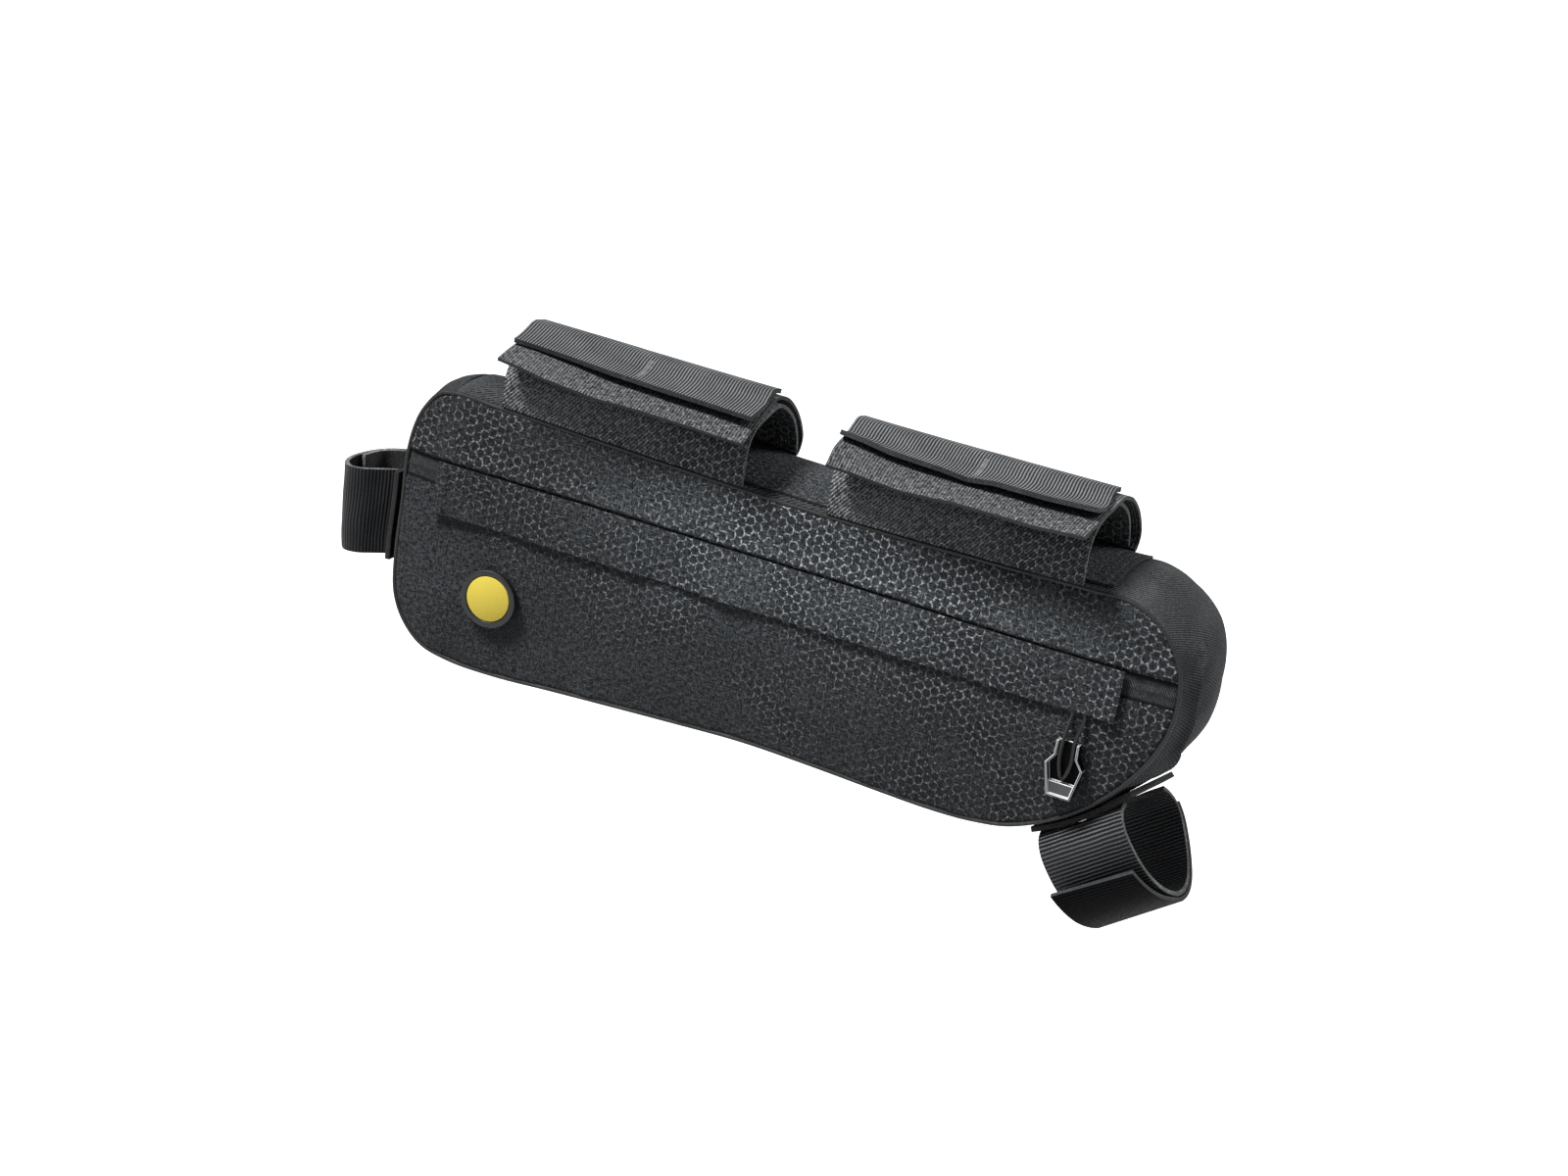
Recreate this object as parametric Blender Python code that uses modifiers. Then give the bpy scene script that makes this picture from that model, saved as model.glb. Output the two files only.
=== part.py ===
"""A bicycle frame bag: a slim hollow bag with two wrap-over cuffs for the top tube, a webbing loop
for the seat tube at its rear end and a hook-and-loop webbing strap for the down tube at its front.

Metres. X runs along the bag towards the bicycle's front, Y away from the zipped side, Z up.
The origin is on the top tube's axis, half way along the bag and half way across it."""
import math

import bmesh
import bpy
from mathutils import Vector

# The bag
BAG_LENGTH = 0.345
BAG_HEIGHT = 0.1135
BAG_WIDTH = 0.060
TUBE_AXIS_RISE = 0.015
PANEL_CROWN = 0.003
PANEL_CROWN_REACH = 0.042
GUSSET_CROWN = 0.0035
REAR_NARROWING = 0.010
REAR_NARROWING_RUN = 0.055

# Cloth, tape and webbing
PANEL_THICKNESS = 0.0016
GUSSET_THICKNESS = 0.0020
PATCH_THICKNESS = 0.0010
CUFF_CLOTH = 0.0015
WEBBING_THICKNESS = 0.0020
BASE_PLATE_THICKNESS = 0.0024
TAPE_THICKNESS = 0.0010
FLAP_THICKNESS = 0.0014
BEAD_RADIUS = 0.0012
CLEARANCE = 0.0003
WELD = 0.000001

# The zip, its tape and its flap, measured down from the top seam
ZIP_SEAM_DROP = 0.0270
TAPE_HEIGHT = 0.0107
TAPE_RECESS = 0.0004
FLAP_HEIGHT = 0.0225
FLAP_OVERLAP = 0.0006
FLAP_REAR_END = 0.0165
FLAP_FRONT_END = 0.0235
FLAP_STANDOFF = 0.0022
FLAP_WAVE = 0.0004
FLAP_WAVES = 5

# The zip pull, measured from the flap's front end and from its lower edge
PULL_INSET = 0.0155
PULL_CORD_RADIUS = 0.0008
PULL_CORD_DROP = 0.0121
GRIP_LENGTH = 0.0242
GRIP_WIDTH = 0.0160
GRIP_THICKNESS = 0.0042
GRIP_WALL = 0.0010
GRIP_BLOCK_HEIGHT = 0.0052
GRIP_BLOCK_RECESS = 0.0010

# The round badge, its centre measured from the rear end and from the top seam
BADGE_RADIUS = 0.0125
BADGE_THICKNESS = 0.0026
BADGE_RIM = 0.0024
BADGE_FLOOR = 0.0012
BADGE_FACE_THICKNESS = 0.0010
BADGE_FROM_REAR = 0.0490
BADGE_DROP = 0.0785

# The cuffs for the top tube
CUFF_LENGTH = 0.110
CUFF_GAP = 0.0375
CUFF_PAIR_SHIFT = -0.0048
CUFF_HALF_WIDTH = 0.030
CUFF_HEIGHT = 0.027
CUFF_STRIP_FLARE = 0.4
CUFF_FREE_EDGE_WAVE = 0.0003
CUFF_WAVES = 2.5
TOP_PATCH_SIDE_INSET = 0.0035
TOP_PATCH_OVERHANG = 0.011

# The strap for the seat tube
REAR_WEBBING_WIDTH = 0.0365
REAR_STRAP_DROP = 0.0410
REAR_STRAP_LEAN = math.radians(9.5)
REAR_LOOP_REACH = 0.0272
REAR_LOOP_WIDTH = 0.0400
REAR_LOOP_CENTRE = -0.0055
REAR_LOOP_TAPER = 0.10
REAR_PLATE_MARGIN = 0.0030
REAR_LINING_END = 0.80

# The strap for the down tube
FRONT_WEBBING_WIDTH = 0.0380
FRONT_STRAP_SLOPE = math.radians(36.0)
FRONT_STRAP_FROM_END = 0.0335
FRONT_LOOP_HALF_WIDTH = 0.0320
FRONT_LOOP_DEPTH = 0.0480
TAB_FREE_LIFT_FRONT = 0.0080
TAB_FREE_LIFT_REAR = 0.0050
TAB_BACK_STEP = 29
TAB_FREE_STEP = 7
TAB_PARTS_AT = 0.62
FRONT_PLATE_REAR_REACH = 0.0215
FRONT_PLATE_FRONT_REACH = 0.0240
FRONT_PLATE_HALF_WIDTH = 0.0255
FRONT_PLATE_SLANT = 0.115
FRONT_PLATE_STANDOFF = 0.0030

# Smoothness of the sewn shapes
OUTLINE_STEPS = 64
PANEL_RINGS = 4
GUSSET_STEPS = 6
TURN_WEIGHT = 0.060
REAR_LOOP_STEPS = 26
FRONT_LOOP_STEPS = 32

# The side outline of the bag: share of the length from the rear end, share of the height down from
# the top seam. It runs from the upper rear corner down, forwards, up and back along the top. Where the
# cloth bulges past the length or the height, a share lies a little under 0 or over 1.
OUTLINE_ROWS = (
    (0.0480, -0.0245), (0.0275, -0.0085), (0.0134, 0.041), (0.0020, 0.115), (-0.0048, 0.246),
    (-0.0023, 0.440), (0.0000, 0.653), (0.0070, 0.799), (0.0237, 0.894), (0.0531, 0.970),
    (0.0933, 0.999), (0.1577, 1.003), (0.2390, 0.987), (0.3958, 0.959), (0.4884, 0.946),
    (0.5749, 0.951), (0.6712, 0.963), (0.7346, 0.968), (0.7866, 0.961), (0.8366, 0.932),
    (0.9028, 0.825), (0.9579, 0.659), (0.9898, 0.489), (1.0000, 0.335), (0.9942, 0.198),
    (0.9759, 0.097), (0.9464, 0.023), (0.9116, -0.011), (0.8681, -0.007), (0.5143, 0.014),
    (0.1142, -0.0195),
)

# Under sides of the cuff's layers, from the zipped side over the top to the back: share of the half
# width, share of the height. Each layer lies on the one below it.
CUFF_INNER_ROWS = (
    (-0.975, 0.000), (-1.010, 0.290), (-1.025, 0.540), (-0.900, 0.780), (-0.500, 0.935),
    (-0.100, 1.000), (0.240, 0.860), (0.530, 0.650), (0.730, 0.380), (0.850, 0.110),
)
CUFF_OUTER_ROWS = (
    (-1.390, 0.670), (-1.175, 0.755), (-0.880, 0.865), (-0.510, 0.965), (-0.100, 1.025),
    (0.250, 0.940), (0.510, 0.790), (0.770, 0.585), (0.990, 0.335), (1.065, 0.185), (0.945, 0.000),
)
CUFF_WEBBING_ROWS = (
    (-1.075, 0.930), (-0.715, 0.975), (-0.400, 1.015), (-0.160, 1.035), (0.040, 1.002), (0.185, 0.968),
)

# Cuffs from the rear: how far the front corner of the free edge flares out and up, at each end
CUFF_ROWS = (
    {"name": "cuff_rear", "rear_flare": 0.000, "front_flare": 0.0015},
    {"name": "cuff_front", "rear_flare": 0.000, "front_flare": 0.0070},
)

# The seat tube's loop seen along its axis, from the zipped side round to the back: share of the
# reach behind the bag, share of the width
REAR_LOOP_ROWS = (
    (0.000, -0.360), (0.230, -0.430), (0.480, -0.500), (0.720, -0.470), (0.900, -0.330),
    (1.000, -0.080), (0.990, 0.150), (0.900, 0.340), (0.700, 0.470), (0.380, 0.500), (0.000, 0.440),
)

# The down tube's loop seen along its axis, from the zipped side round to the back: share of the half
# width, share of the depth
FRONT_LOOP_ROWS = (
    (-0.640, 0.060), (-0.870, 0.120), (-0.985, 0.235), (-0.985, 0.430), (-0.890, 0.620),
    (-0.720, 0.780), (-0.470, 0.910), (-0.180, 0.990), (0.100, 0.990), (0.330, 0.935),
    (0.560, 0.810), (0.750, 0.660), (0.890, 0.500), (0.910, 0.380), (0.830, 0.280), (0.700, 0.200),
)

# The moulded grip's outline: share of the half width, share of the length from its top
GRIP_ROWS = (
    (-0.600, 0.000), (-0.620, 0.260), (-1.000, 0.440), (-0.640, 1.000),
    (0.640, 1.000), (1.000, 0.440), (0.620, 0.260), (0.600, 0.000),
)


def clear_scene():
    for item in list(bpy.data.objects):
        bpy.data.objects.remove(item)


def new_collection(name):
    collection = bpy.data.collections.new(name)
    bpy.context.scene.collection.children.link(collection)
    return collection


def finish(name, colour, roughness, metallic=0.0):
    material = bpy.data.materials.new(name)
    material.use_nodes = True
    shader = material.node_tree.nodes["Principled BSDF"]
    shader.inputs["Base Color"].default_value = (*colour, 1.0)
    shader.inputs["Roughness"].default_value = roughness
    shader.inputs["Metallic"].default_value = metallic
    return material


def ease(share):
    share = min(max(share, 0.0), 1.0)
    return share * share * (3.0 - 2.0 * share)


def mix(start, end, share):
    return start + (end - start) * share


# Smooth paths through a few chosen points

def curve_point(before, start, end, after, share):
    """A point between start and end on the centripetal curve through four points."""
    knots = [0.0]
    for first, second in ((before, start), (start, end), (end, after)):
        knots.append(knots[-1] + max((second - first).length, WELD) ** 0.5)
    at = mix(knots[1], knots[2], share)

    def blend(first, second, low, high):
        return first.lerp(second, (at - low) / (high - low))

    lower = blend(before, start, knots[0], knots[1])
    middle = blend(start, end, knots[1], knots[2])
    upper = blend(end, after, knots[2], knots[3])
    return blend(blend(lower, middle, knots[0], knots[2]), blend(middle, upper, knots[1], knots[3]),
                 knots[1], knots[2])


def smooth_path(points, steps, closed=False, turn_weight=0.0, fine=24):
    """Points spread evenly along a smooth curve, closer together where it turns if asked."""
    count = len(points)
    if closed:
        ring = [points[-1], *points, points[0], points[1]]
    else:
        ring = [points[0] * 2 - points[1], *points, points[-1] * 2 - points[-2]]
    spans = count if closed else count - 1
    walk = [curve_point(*ring[span:span + 4], step / fine) for span in range(spans) for step in range(fine)]
    walk.append(points[0].copy() if closed else points[-1].copy())
    travelled = [0.0]
    for index in range(1, len(walk)):
        step = walk[index] - walk[index - 1]
        turn = 0.0
        if index > 1 and step.length > WELD:
            turn = step.angle(walk[index - 1] - walk[index - 2], 0.0)
        travelled.append(travelled[-1] + step.length + turn_weight * turn)
    path = []
    at = 0
    for step in range(steps if closed else steps + 1):
        goal = travelled[-1] * step / steps
        while at < len(walk) - 2 and travelled[at + 1] < goal:
            at += 1
        span = max(travelled[at + 1] - travelled[at], WELD)
        path.append(walk[at].lerp(walk[at + 1], min(max((goal - travelled[at]) / span, 0.0), 1.0)))
    return path


def left_normals(path, closed=False):
    """Unit normals to the left of a flat path's direction."""
    normals = []
    last = len(path) - 1
    for index in range(len(path)):
        before = path[index - 1] if index or closed else path[0]
        after = path[(index + 1) % len(path)] if index < last or closed else path[last]
        along = (after - before).normalized()
        normals.append(Vector((-along.y, along.x)))
    return normals


def moved_out(path, distance, closed=False):
    """The path moved to its left by a distance, or by one distance for each of its points."""
    distances = distance if isinstance(distance, list) else [distance] * len(path)
    normals = left_normals(path, closed)
    return [point + normal * away for point, normal, away in zip(path, normals, distances)]


def path_at(path, share):
    """The point at a share of an open path, counted in its own steps."""
    at = min(max(share, 0.0), 1.0) * (len(path) - 1)
    low = min(int(at), len(path) - 2)
    return path[low].lerp(path[low + 1], at - low)


# The bag's side outline, its seam line and the surfaces that follow them

TOP_SEAM = -TUBE_AXIS_RISE
REAR_END = -BAG_LENGTH / 2
HALF_WIDTH = BAG_WIDTH / 2
OUTLINE = smooth_path(
    [Vector((REAR_END + along * BAG_LENGTH, TOP_SEAM - down * BAG_HEIGHT)) for along, down in OUTLINE_ROWS],
    OUTLINE_STEPS, closed=True, turn_weight=TURN_WEIGHT)
SEAM_LINE = moved_out(OUTLINE, BEAD_RADIUS, closed=True)
PANEL_EDGE = moved_out(SEAM_LINE, BEAD_RADIUS + CLEARANCE, closed=True)
OUTWARD = [-normal for normal in left_normals(SEAM_LINE, closed=True)]
BEAD_PLANE = HALF_WIDTH - BEAD_RADIUS * 0.4
GUSSET_EDGE = BEAD_PLANE - BEAD_RADIUS - CLEARANCE
GUSSET_EDGE_RISE = GUSSET_THICKNESS * 0.4
FLAP_TOP = TOP_SEAM - ZIP_SEAM_DROP + FLAP_OVERLAP


def back_plane(x):
    """How far the back seam lies from the middle: the bag narrows a little towards its rear end."""
    return HALF_WIDTH - REAR_NARROWING * ease((REAR_END + REAR_NARROWING_RUN - x) / REAR_NARROWING_RUN)


def crown(x, z):
    """How far a side panel swells out at a point, from nothing at its edge."""
    inside = min((Vector((x, z)) - point).length for point in OUTLINE)
    return PANEL_CROWN * (1.0 - (1.0 - min(inside / PANEL_CROWN_REACH, 1.0)) ** 2)


def front_surface(x, z):
    return -HALF_WIDTH - crown(x, z)


def crossing(path, axis, value, upper):
    """The other coordinate where the closed path crosses a value of one axis, the upper or lower one."""
    other = 1 - axis
    found = []
    for index, start in enumerate(path):
        end = path[(index + 1) % len(path)]
        low, high = sorted((start[axis], end[axis]))
        if low <= value <= high and high > low:
            found.append(mix(start[other], end[other], (value - start[axis]) / (end[axis] - start[axis])))
    return max(found) if upper else min(found)


def top_line(x):
    """The height of the bag's top edge at a place along it."""
    return crossing(OUTLINE, 0, x, True)


def gusset_swell(y, x):
    """How far the gusset's outer face stands out of the seam line, from edge to edge."""
    edge_back = back_plane(x) - HALF_WIDTH + GUSSET_EDGE
    across = (y + GUSSET_EDGE) / (edge_back + GUSSET_EDGE)
    across = min(max(across, 0.0), 1.0)
    return GUSSET_EDGE_RISE + GUSSET_CROWN * (1.0 - (2.0 * across - 1.0) ** 2)


# Making closed solids

def solid(name, shape, material, thickness=0.0, offset=0.0):
    """Put a shape in the bag's collection as a named object, with a wall thickness if it is open."""
    mesh = bpy.data.meshes.new(name)
    shape.to_mesh(mesh)
    shape.free()
    mesh.shade_smooth()
    mesh.set_sharp_from_angle(angle=math.radians(40.0))
    mesh.materials.append(material)
    item = bpy.data.objects.new(name, mesh)
    BAG.objects.link(item)
    if thickness:
        wall = item.modifiers.new("cloth", "SOLIDIFY")
        wall.thickness = thickness
        wall.offset = offset
        wall.use_even_offset = True
    return item


def sheet(name, place, steps, thickness, material, offset=0.0, wrap=False, cap=False, cuts=()):
    """A grid laid on a surface and given its thickness. place takes the two shares of the grid. A
    wrapped grid closes on itself, a capped one is filled at its last row, and each cut is a plane's
    point and the direction of what it takes away."""
    shape = bmesh.new()
    bmesh.ops.create_grid(shape, x_segments=steps[0], y_segments=steps[1], size=0.5)
    for vert in shape.verts:
        vert.tag = vert.co.y > 0.5 - WELD
        vert.co = place(min(max(vert.co.x + 0.5, 0.0), 1.0), min(max(vert.co.y + 0.5, 0.0), 1.0))
    if wrap:
        bmesh.ops.remove_doubles(shape, verts=shape.verts, dist=WELD)
    if cap:
        rim = [edge for edge in shape.edges if edge.is_boundary and all(vert.tag for vert in edge.verts)]
        bmesh.ops.contextual_create(shape, geom=rim)
    for point, away in cuts:
        everything = [*shape.verts, *shape.edges, *shape.faces]
        bmesh.ops.bisect_plane(shape, geom=everything, dist=WELD, plane_co=point, plane_no=away, clear_outer=True)
    bmesh.ops.recalc_face_normals(shape, faces=shape.faces)
    middle = Vector((0.0, 0.0, TOP_SEAM - BAG_HEIGHT / 2))
    outward = sum(face.normal.dot(face.calc_center_median() - middle) * face.calc_area() for face in shape.faces)
    if outward < 0.0:
        bmesh.ops.reverse_faces(shape, faces=shape.faces)
    return solid(name, shape, material, thickness, offset)


def tube(name, points, radius, material, closed=False, sides=6):
    """A round cord or bead along a path."""
    curve = bpy.data.curves.new(name, "CURVE")
    curve.dimensions = "3D"
    curve.bevel_depth = radius
    curve.bevel_resolution = (sides - 4) // 2
    curve.use_fill_caps = not closed
    spline = curve.splines.new("POLY")
    spline.points.add(len(points) - 1)
    for knot, point in zip(spline.points, points):
        knot.co = (*point, 1.0)
    spline.use_cyclic_u = closed
    curve.materials.append(material)
    item = bpy.data.objects.new(name, curve)
    BAG.objects.link(item)
    return item


def outline_plate(name, corners, thickness, collection):
    """A flat closed outline with a thickness, stood upright to face the zipped side, as a mesh."""
    curve = bpy.data.curves.new(name, "CURVE")
    curve.dimensions = "2D"
    curve.fill_mode = "BOTH"
    curve.extrude = thickness / 2
    spline = curve.splines.new("POLY")
    spline.points.add(len(corners) - 1)
    for knot, (x, z) in zip(spline.points, corners):
        knot.co = (x, z, 0.0, 1.0)
    spline.use_cyclic_u = True
    flat = bpy.data.objects.new(name + "_outline", curve)
    collection.objects.link(flat)
    bpy.context.view_layer.update()
    mesh = bpy.data.meshes.new_from_object(flat.evaluated_get(bpy.context.evaluated_depsgraph_get()))
    bpy.data.objects.remove(flat)
    shape = bmesh.new()
    shape.from_mesh(mesh)
    bmesh.ops.remove_doubles(shape, verts=shape.verts, dist=WELD)
    bmesh.ops.recalc_face_normals(shape, faces=shape.faces)
    shape.to_mesh(mesh)
    shape.free()
    item = bpy.data.objects.new(name, mesh)
    collection.objects.link(item)
    return item


def cut(item, cutter):
    cutter.hide_render = True
    cutter.display_type = "WIRE"
    boolean = item.modifiers.new("cut by " + cutter.name, "BOOLEAN")
    boolean.operation = "DIFFERENCE"
    boolean.solver = "EXACT"
    boolean.object = cutter


# The bag's own cloth

def front_side(x, z, depth):
    return front_surface(x, z) + depth


def back_side(x, z, depth):
    return back_plane(x) + crown(x, z) - depth


def panel(name, surface, depth, thickness, material, cuts=()):
    """A side panel in rings from its sewn edge to its middle, at a depth from the outer face."""
    middle_half = (BAG_LENGTH - BAG_HEIGHT) / 2
    middle_height = TOP_SEAM - BAG_HEIGHT / 2

    def place(around, inwards):
        edge = PANEL_EDGE[round(around * OUTLINE_STEPS) % OUTLINE_STEPS]
        middle = Vector((min(max(edge.x, -middle_half), middle_half), middle_height))
        point = edge.lerp(middle, 0.9 * inwards ** 0.8)
        return Vector((point.x, surface(point.x, point.y, depth + thickness / 2), point.y))

    return sheet(name, place, (OUTLINE_STEPS, PANEL_RINGS), thickness, material, wrap=True, cap=True, cuts=cuts)


def make_panels(cloth, tape):
    seam = TOP_SEAM - ZIP_SEAM_DROP
    tape_foot = seam - CLEARANCE - TAPE_HEIGHT
    up = Vector((0.0, 0.0, 1.0))
    panel("front_panel_upper", front_side, 0.0, PANEL_THICKNESS, cloth, [(up * seam, -up)])
    panel("zip_tape", front_side, TAPE_RECESS, TAPE_THICKNESS, tape,
          [(up * (seam - CLEARANCE), up), (up * tape_foot, -up)])
    panel("front_panel_lower", front_side, 0.0, PANEL_THICKNESS, cloth, [(up * (tape_foot - CLEARANCE), up)])
    panel("back_panel", back_side, 0.0, PANEL_THICKNESS, cloth)


def make_gusset(canvas):
    def place(around, across):
        index = round(around * OUTLINE_STEPS) % OUTLINE_STEPS
        seam = SEAM_LINE[index]
        y = mix(-GUSSET_EDGE, back_plane(seam.x) - HALF_WIDTH + GUSSET_EDGE, across)
        point = seam + OUTWARD[index] * gusset_swell(y, seam.x)
        return Vector((point.x, y, point.y))

    sheet("gusset", place, (OUTLINE_STEPS, GUSSET_STEPS), GUSSET_THICKNESS, canvas, offset=-1.0, wrap=True)


def make_beads(binding):
    front = [Vector((point.x, -BEAD_PLANE, point.y)) for point in SEAM_LINE]
    back = [Vector((point.x, back_plane(point.x) - HALF_WIDTH + BEAD_PLANE, point.y)) for point in SEAM_LINE]
    tube("front_seam_bead", front, BEAD_RADIUS, binding, closed=True)
    tube("back_seam_bead", back, BEAD_RADIUS, binding, closed=True)


def flap_span():
    return REAR_END + FLAP_REAR_END, -REAR_END - FLAP_FRONT_END


def make_flap(cloth):
    low_x, high_x = flap_span()

    def place(along, down):
        x = mix(low_x, high_x, along)
        z = FLAP_TOP - FLAP_HEIGHT * down
        wave = FLAP_WAVE * down * math.sin(2.0 * math.pi * FLAP_WAVES * along)
        away = CLEARANCE + FLAP_THICKNESS / 2 + FLAP_STANDOFF * down ** 0.7 + wave
        return Vector((x, front_surface(x, z) - away, z))

    sheet("zip_flap", place, (24, 3), FLAP_THICKNESS, cloth)


def make_top_patch(cloth):
    spans = cuff_spans()
    half = GUSSET_EDGE - TOP_PATCH_SIDE_INSET

    def place(along, across):
        x = mix(spans[0][0], spans[-1][1] + TOP_PATCH_OVERHANG, along)
        y = mix(-half, half, across)
        lift = gusset_swell(y, x) + CLEARANCE + PATCH_THICKNESS / 2
        return Vector((x, y, crossing(SEAM_LINE, 0, x, True) + lift))

    sheet("top_patch", place, (14, GUSSET_STEPS), PATCH_THICKNESS, cloth)


# The zip pull and the badge

def make_pull(moulding, cord):
    x = flap_span()[1] - PULL_INSET
    flap_foot = FLAP_TOP - FLAP_HEIGHT
    top = flap_foot - PULL_CORD_DROP
    half = GRIP_WIDTH / 2
    pocket_depth = 2.0 * PULL_CORD_RADIUS + 3.0 * CLEARANCE

    def resting(z):
        """Where the grip's back face lies: clear of the panel behind its whole width."""
        return min(front_surface(x + side * half, z) for side in (-1.0, 0.0, 1.0)) - 2.0 * CLEARANCE

    back_top, back_foot = resting(top), resting(top - GRIP_LENGTH)
    tilt = math.atan2(back_foot - back_top, GRIP_LENGTH)
    turn = math.radians(90.0) + tilt
    outline = [(side * half, -drop * GRIP_LENGTH) for side, drop in GRIP_ROWS]
    grip = outline_plate("pull_grip", outline, GRIP_THICKNESS, BAG)
    grip.data.materials.append(moulding)
    grip.rotation_euler = (turn, 0.0, 0.0)
    grip.location = (x, back_top - GRIP_THICKNESS / 2, top)

    block = GRIP_BLOCK_HEIGHT + GRIP_WALL

    def wall_at(drop):
        """The inside of the side walls at a distance below the grip's top: left and right."""
        rows = [(drop_share * GRIP_LENGTH, side * half) for side, drop_share in GRIP_ROWS]
        sides = []
        for chain in (rows[:4], rows[:3:-1]):
            for (low, first), (high, second) in zip(chain, chain[1:]):
                if low <= drop <= high:
                    edge = mix(first, second, (drop - low) / (high - low))
                    sides.append(edge - math.copysign(GRIP_WALL, edge))
                    break
        return sides

    def pocket(name, first, last, depth):
        bends = [drop for drop in (GRIP_ROWS[1][1] * GRIP_LENGTH, GRIP_ROWS[2][1] * GRIP_LENGTH)
                 if first < drop < last]
        levels = [max(first, 0.0), *bends, last]
        left = [(wall_at(drop)[0], -drop) for drop in levels]
        right = [(wall_at(drop)[1], -drop) for drop in levels]
        if first < 0.0:
            left.insert(0, (left[0][0], -first))
            right.insert(0, (right[0][0], -first))
        cutter = outline_plate(name, [*left, *reversed(right)], 2.0 * depth, CUTTERS)
        cutter.rotation_euler = (turn, 0.0, 0.0)
        forward = Vector((0.0, -math.cos(tilt), -math.sin(tilt))) * (GRIP_THICKNESS / 2)
        cutter.location = grip.location + forward
        cut(grip, cutter)

    pocket("grip_pocket", -0.002, GRIP_LENGTH - block, pocket_depth)
    pocket("grip_shelf", GRIP_LENGTH - block - 0.0005, GRIP_LENGTH - GRIP_WALL, GRIP_BLOCK_RECESS)

    floor = GRIP_THICKNESS - pocket_depth + CLEARANCE + PULL_CORD_RADIUS
    loop_foot = top - GRIP_LENGTH + block + PULL_CORD_RADIUS + 2.0 * CLEARANCE
    strand = half * abs(GRIP_ROWS[0][0]) - GRIP_WALL - PULL_CORD_RADIUS - 2.0 * CLEARANCE

    def held(side, z):
        return Vector((x + side, back_top + (top - z) * math.tan(tilt) - floor, z))

    def lying(side, z):
        return Vector((x + side, front_surface(x + side, z) - CLEARANCE - PULL_CORD_RADIUS, z))

    hidden = flap_foot + 0.12 * FLAP_HEIGHT
    route = [lying(-0.6 * strand, hidden), lying(-0.7 * strand, flap_foot - 0.15 * PULL_CORD_DROP),
             held(-strand, top + 0.1 * PULL_CORD_DROP), held(-strand, mix(top, loop_foot, 0.6)),
             held(0.0, loop_foot), held(strand, mix(top, loop_foot, 0.6)),
             held(strand, top + 0.1 * PULL_CORD_DROP), lying(1.5 * strand, flap_foot - 0.15 * PULL_CORD_DROP),
             lying(0.8 * strand, hidden)]
    tube("pull_cord", smooth_path(route, 28), PULL_CORD_RADIUS, cord)


def turned(name, profile, material):
    """A shape turned about its own upright axis from an open profile that starts and ends on it."""
    mesh = bpy.data.meshes.new(name)
    mesh.from_pydata([(radius, 0.0, height) for radius, height in profile],
                     [(index, index + 1) for index in range(len(profile) - 1)], [])
    mesh.materials.append(material)
    item = bpy.data.objects.new(name, mesh)
    BAG.objects.link(item)
    screw = item.modifiers.new("turn", "SCREW")
    screw.steps = 28
    screw.render_steps = 28
    screw.use_merge_vertices = True
    screw.merge_threshold = WELD
    return item


def make_badge(rubber, paint):
    x = REAR_END + BADGE_FROM_REAR
    z = TOP_SEAM - BADGE_DROP
    above = front_surface(x, z + BADGE_RADIUS)
    under = front_surface(x, z - BADGE_RADIUS)
    tilt = math.atan2(under - above, 2.0 * BADGE_RADIUS)
    back = front_surface(x, z) - 2.0 * CLEARANCE
    inner = BADGE_RADIUS - BADGE_RIM
    base = turned("badge_base", [(0.0, BADGE_FLOOR), (inner, BADGE_FLOOR), (inner, BADGE_THICKNESS),
                                 (BADGE_RADIUS, BADGE_THICKNESS), (BADGE_RADIUS, 0.0), (0.0, 0.0)], rubber)
    low = BADGE_FLOOR + CLEARANCE
    face = turned("badge_face", [(0.0, low + BADGE_FACE_THICKNESS), (inner - CLEARANCE, low + BADGE_FACE_THICKNESS),
                                 (inner - CLEARANCE, low), (0.0, low)], paint)
    for item in (base, face):
        item.rotation_euler = (math.radians(90.0) + tilt, 0.0, 0.0)
        item.location = (x, back, z)


# The cuffs

def cuff_spans():
    first = CUFF_PAIR_SHIFT - CUFF_GAP / 2 - CUFF_LENGTH
    starts = [first + index * (CUFF_LENGTH + CUFF_GAP) for index in range(len(CUFF_ROWS))]
    return [(start, start + CUFF_LENGTH) for start in starts]


def cuff_layer(name, rows, below, thickness, span, steps, material, flare=(0.0, 0.0), wave=0.0):
    """One layer of a cuff: its under side comes from the rows, moved out by the layers below it."""
    points = [Vector((half * CUFF_HALF_WIDTH, CLEARANCE + rise * CUFF_HEIGHT)) for half, rise in rows]
    path = moved_out(smooth_path(points, steps[1]), below + thickness / 2)
    for point, normal in zip(path, left_normals(path)):
        point.y = max(point.y, CLEARANCE + abs(normal.y) * thickness / 2)

    def place(along, over):
        x = mix(span[0], span[1], along)
        point = path_at(path, over)
        edge = max(1.0 - 3.0 * over, 0.0) ** 1.5
        ripple = wave * edge * math.sin(2.0 * math.pi * CUFF_WAVES * along)
        away = mix(flare[0], flare[1], ease(along)) * edge
        return Vector((x, point.x - away, top_line(x) + point.y + away * 0.6 + ripple))

    sheet(name, place, steps, thickness, material)


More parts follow.
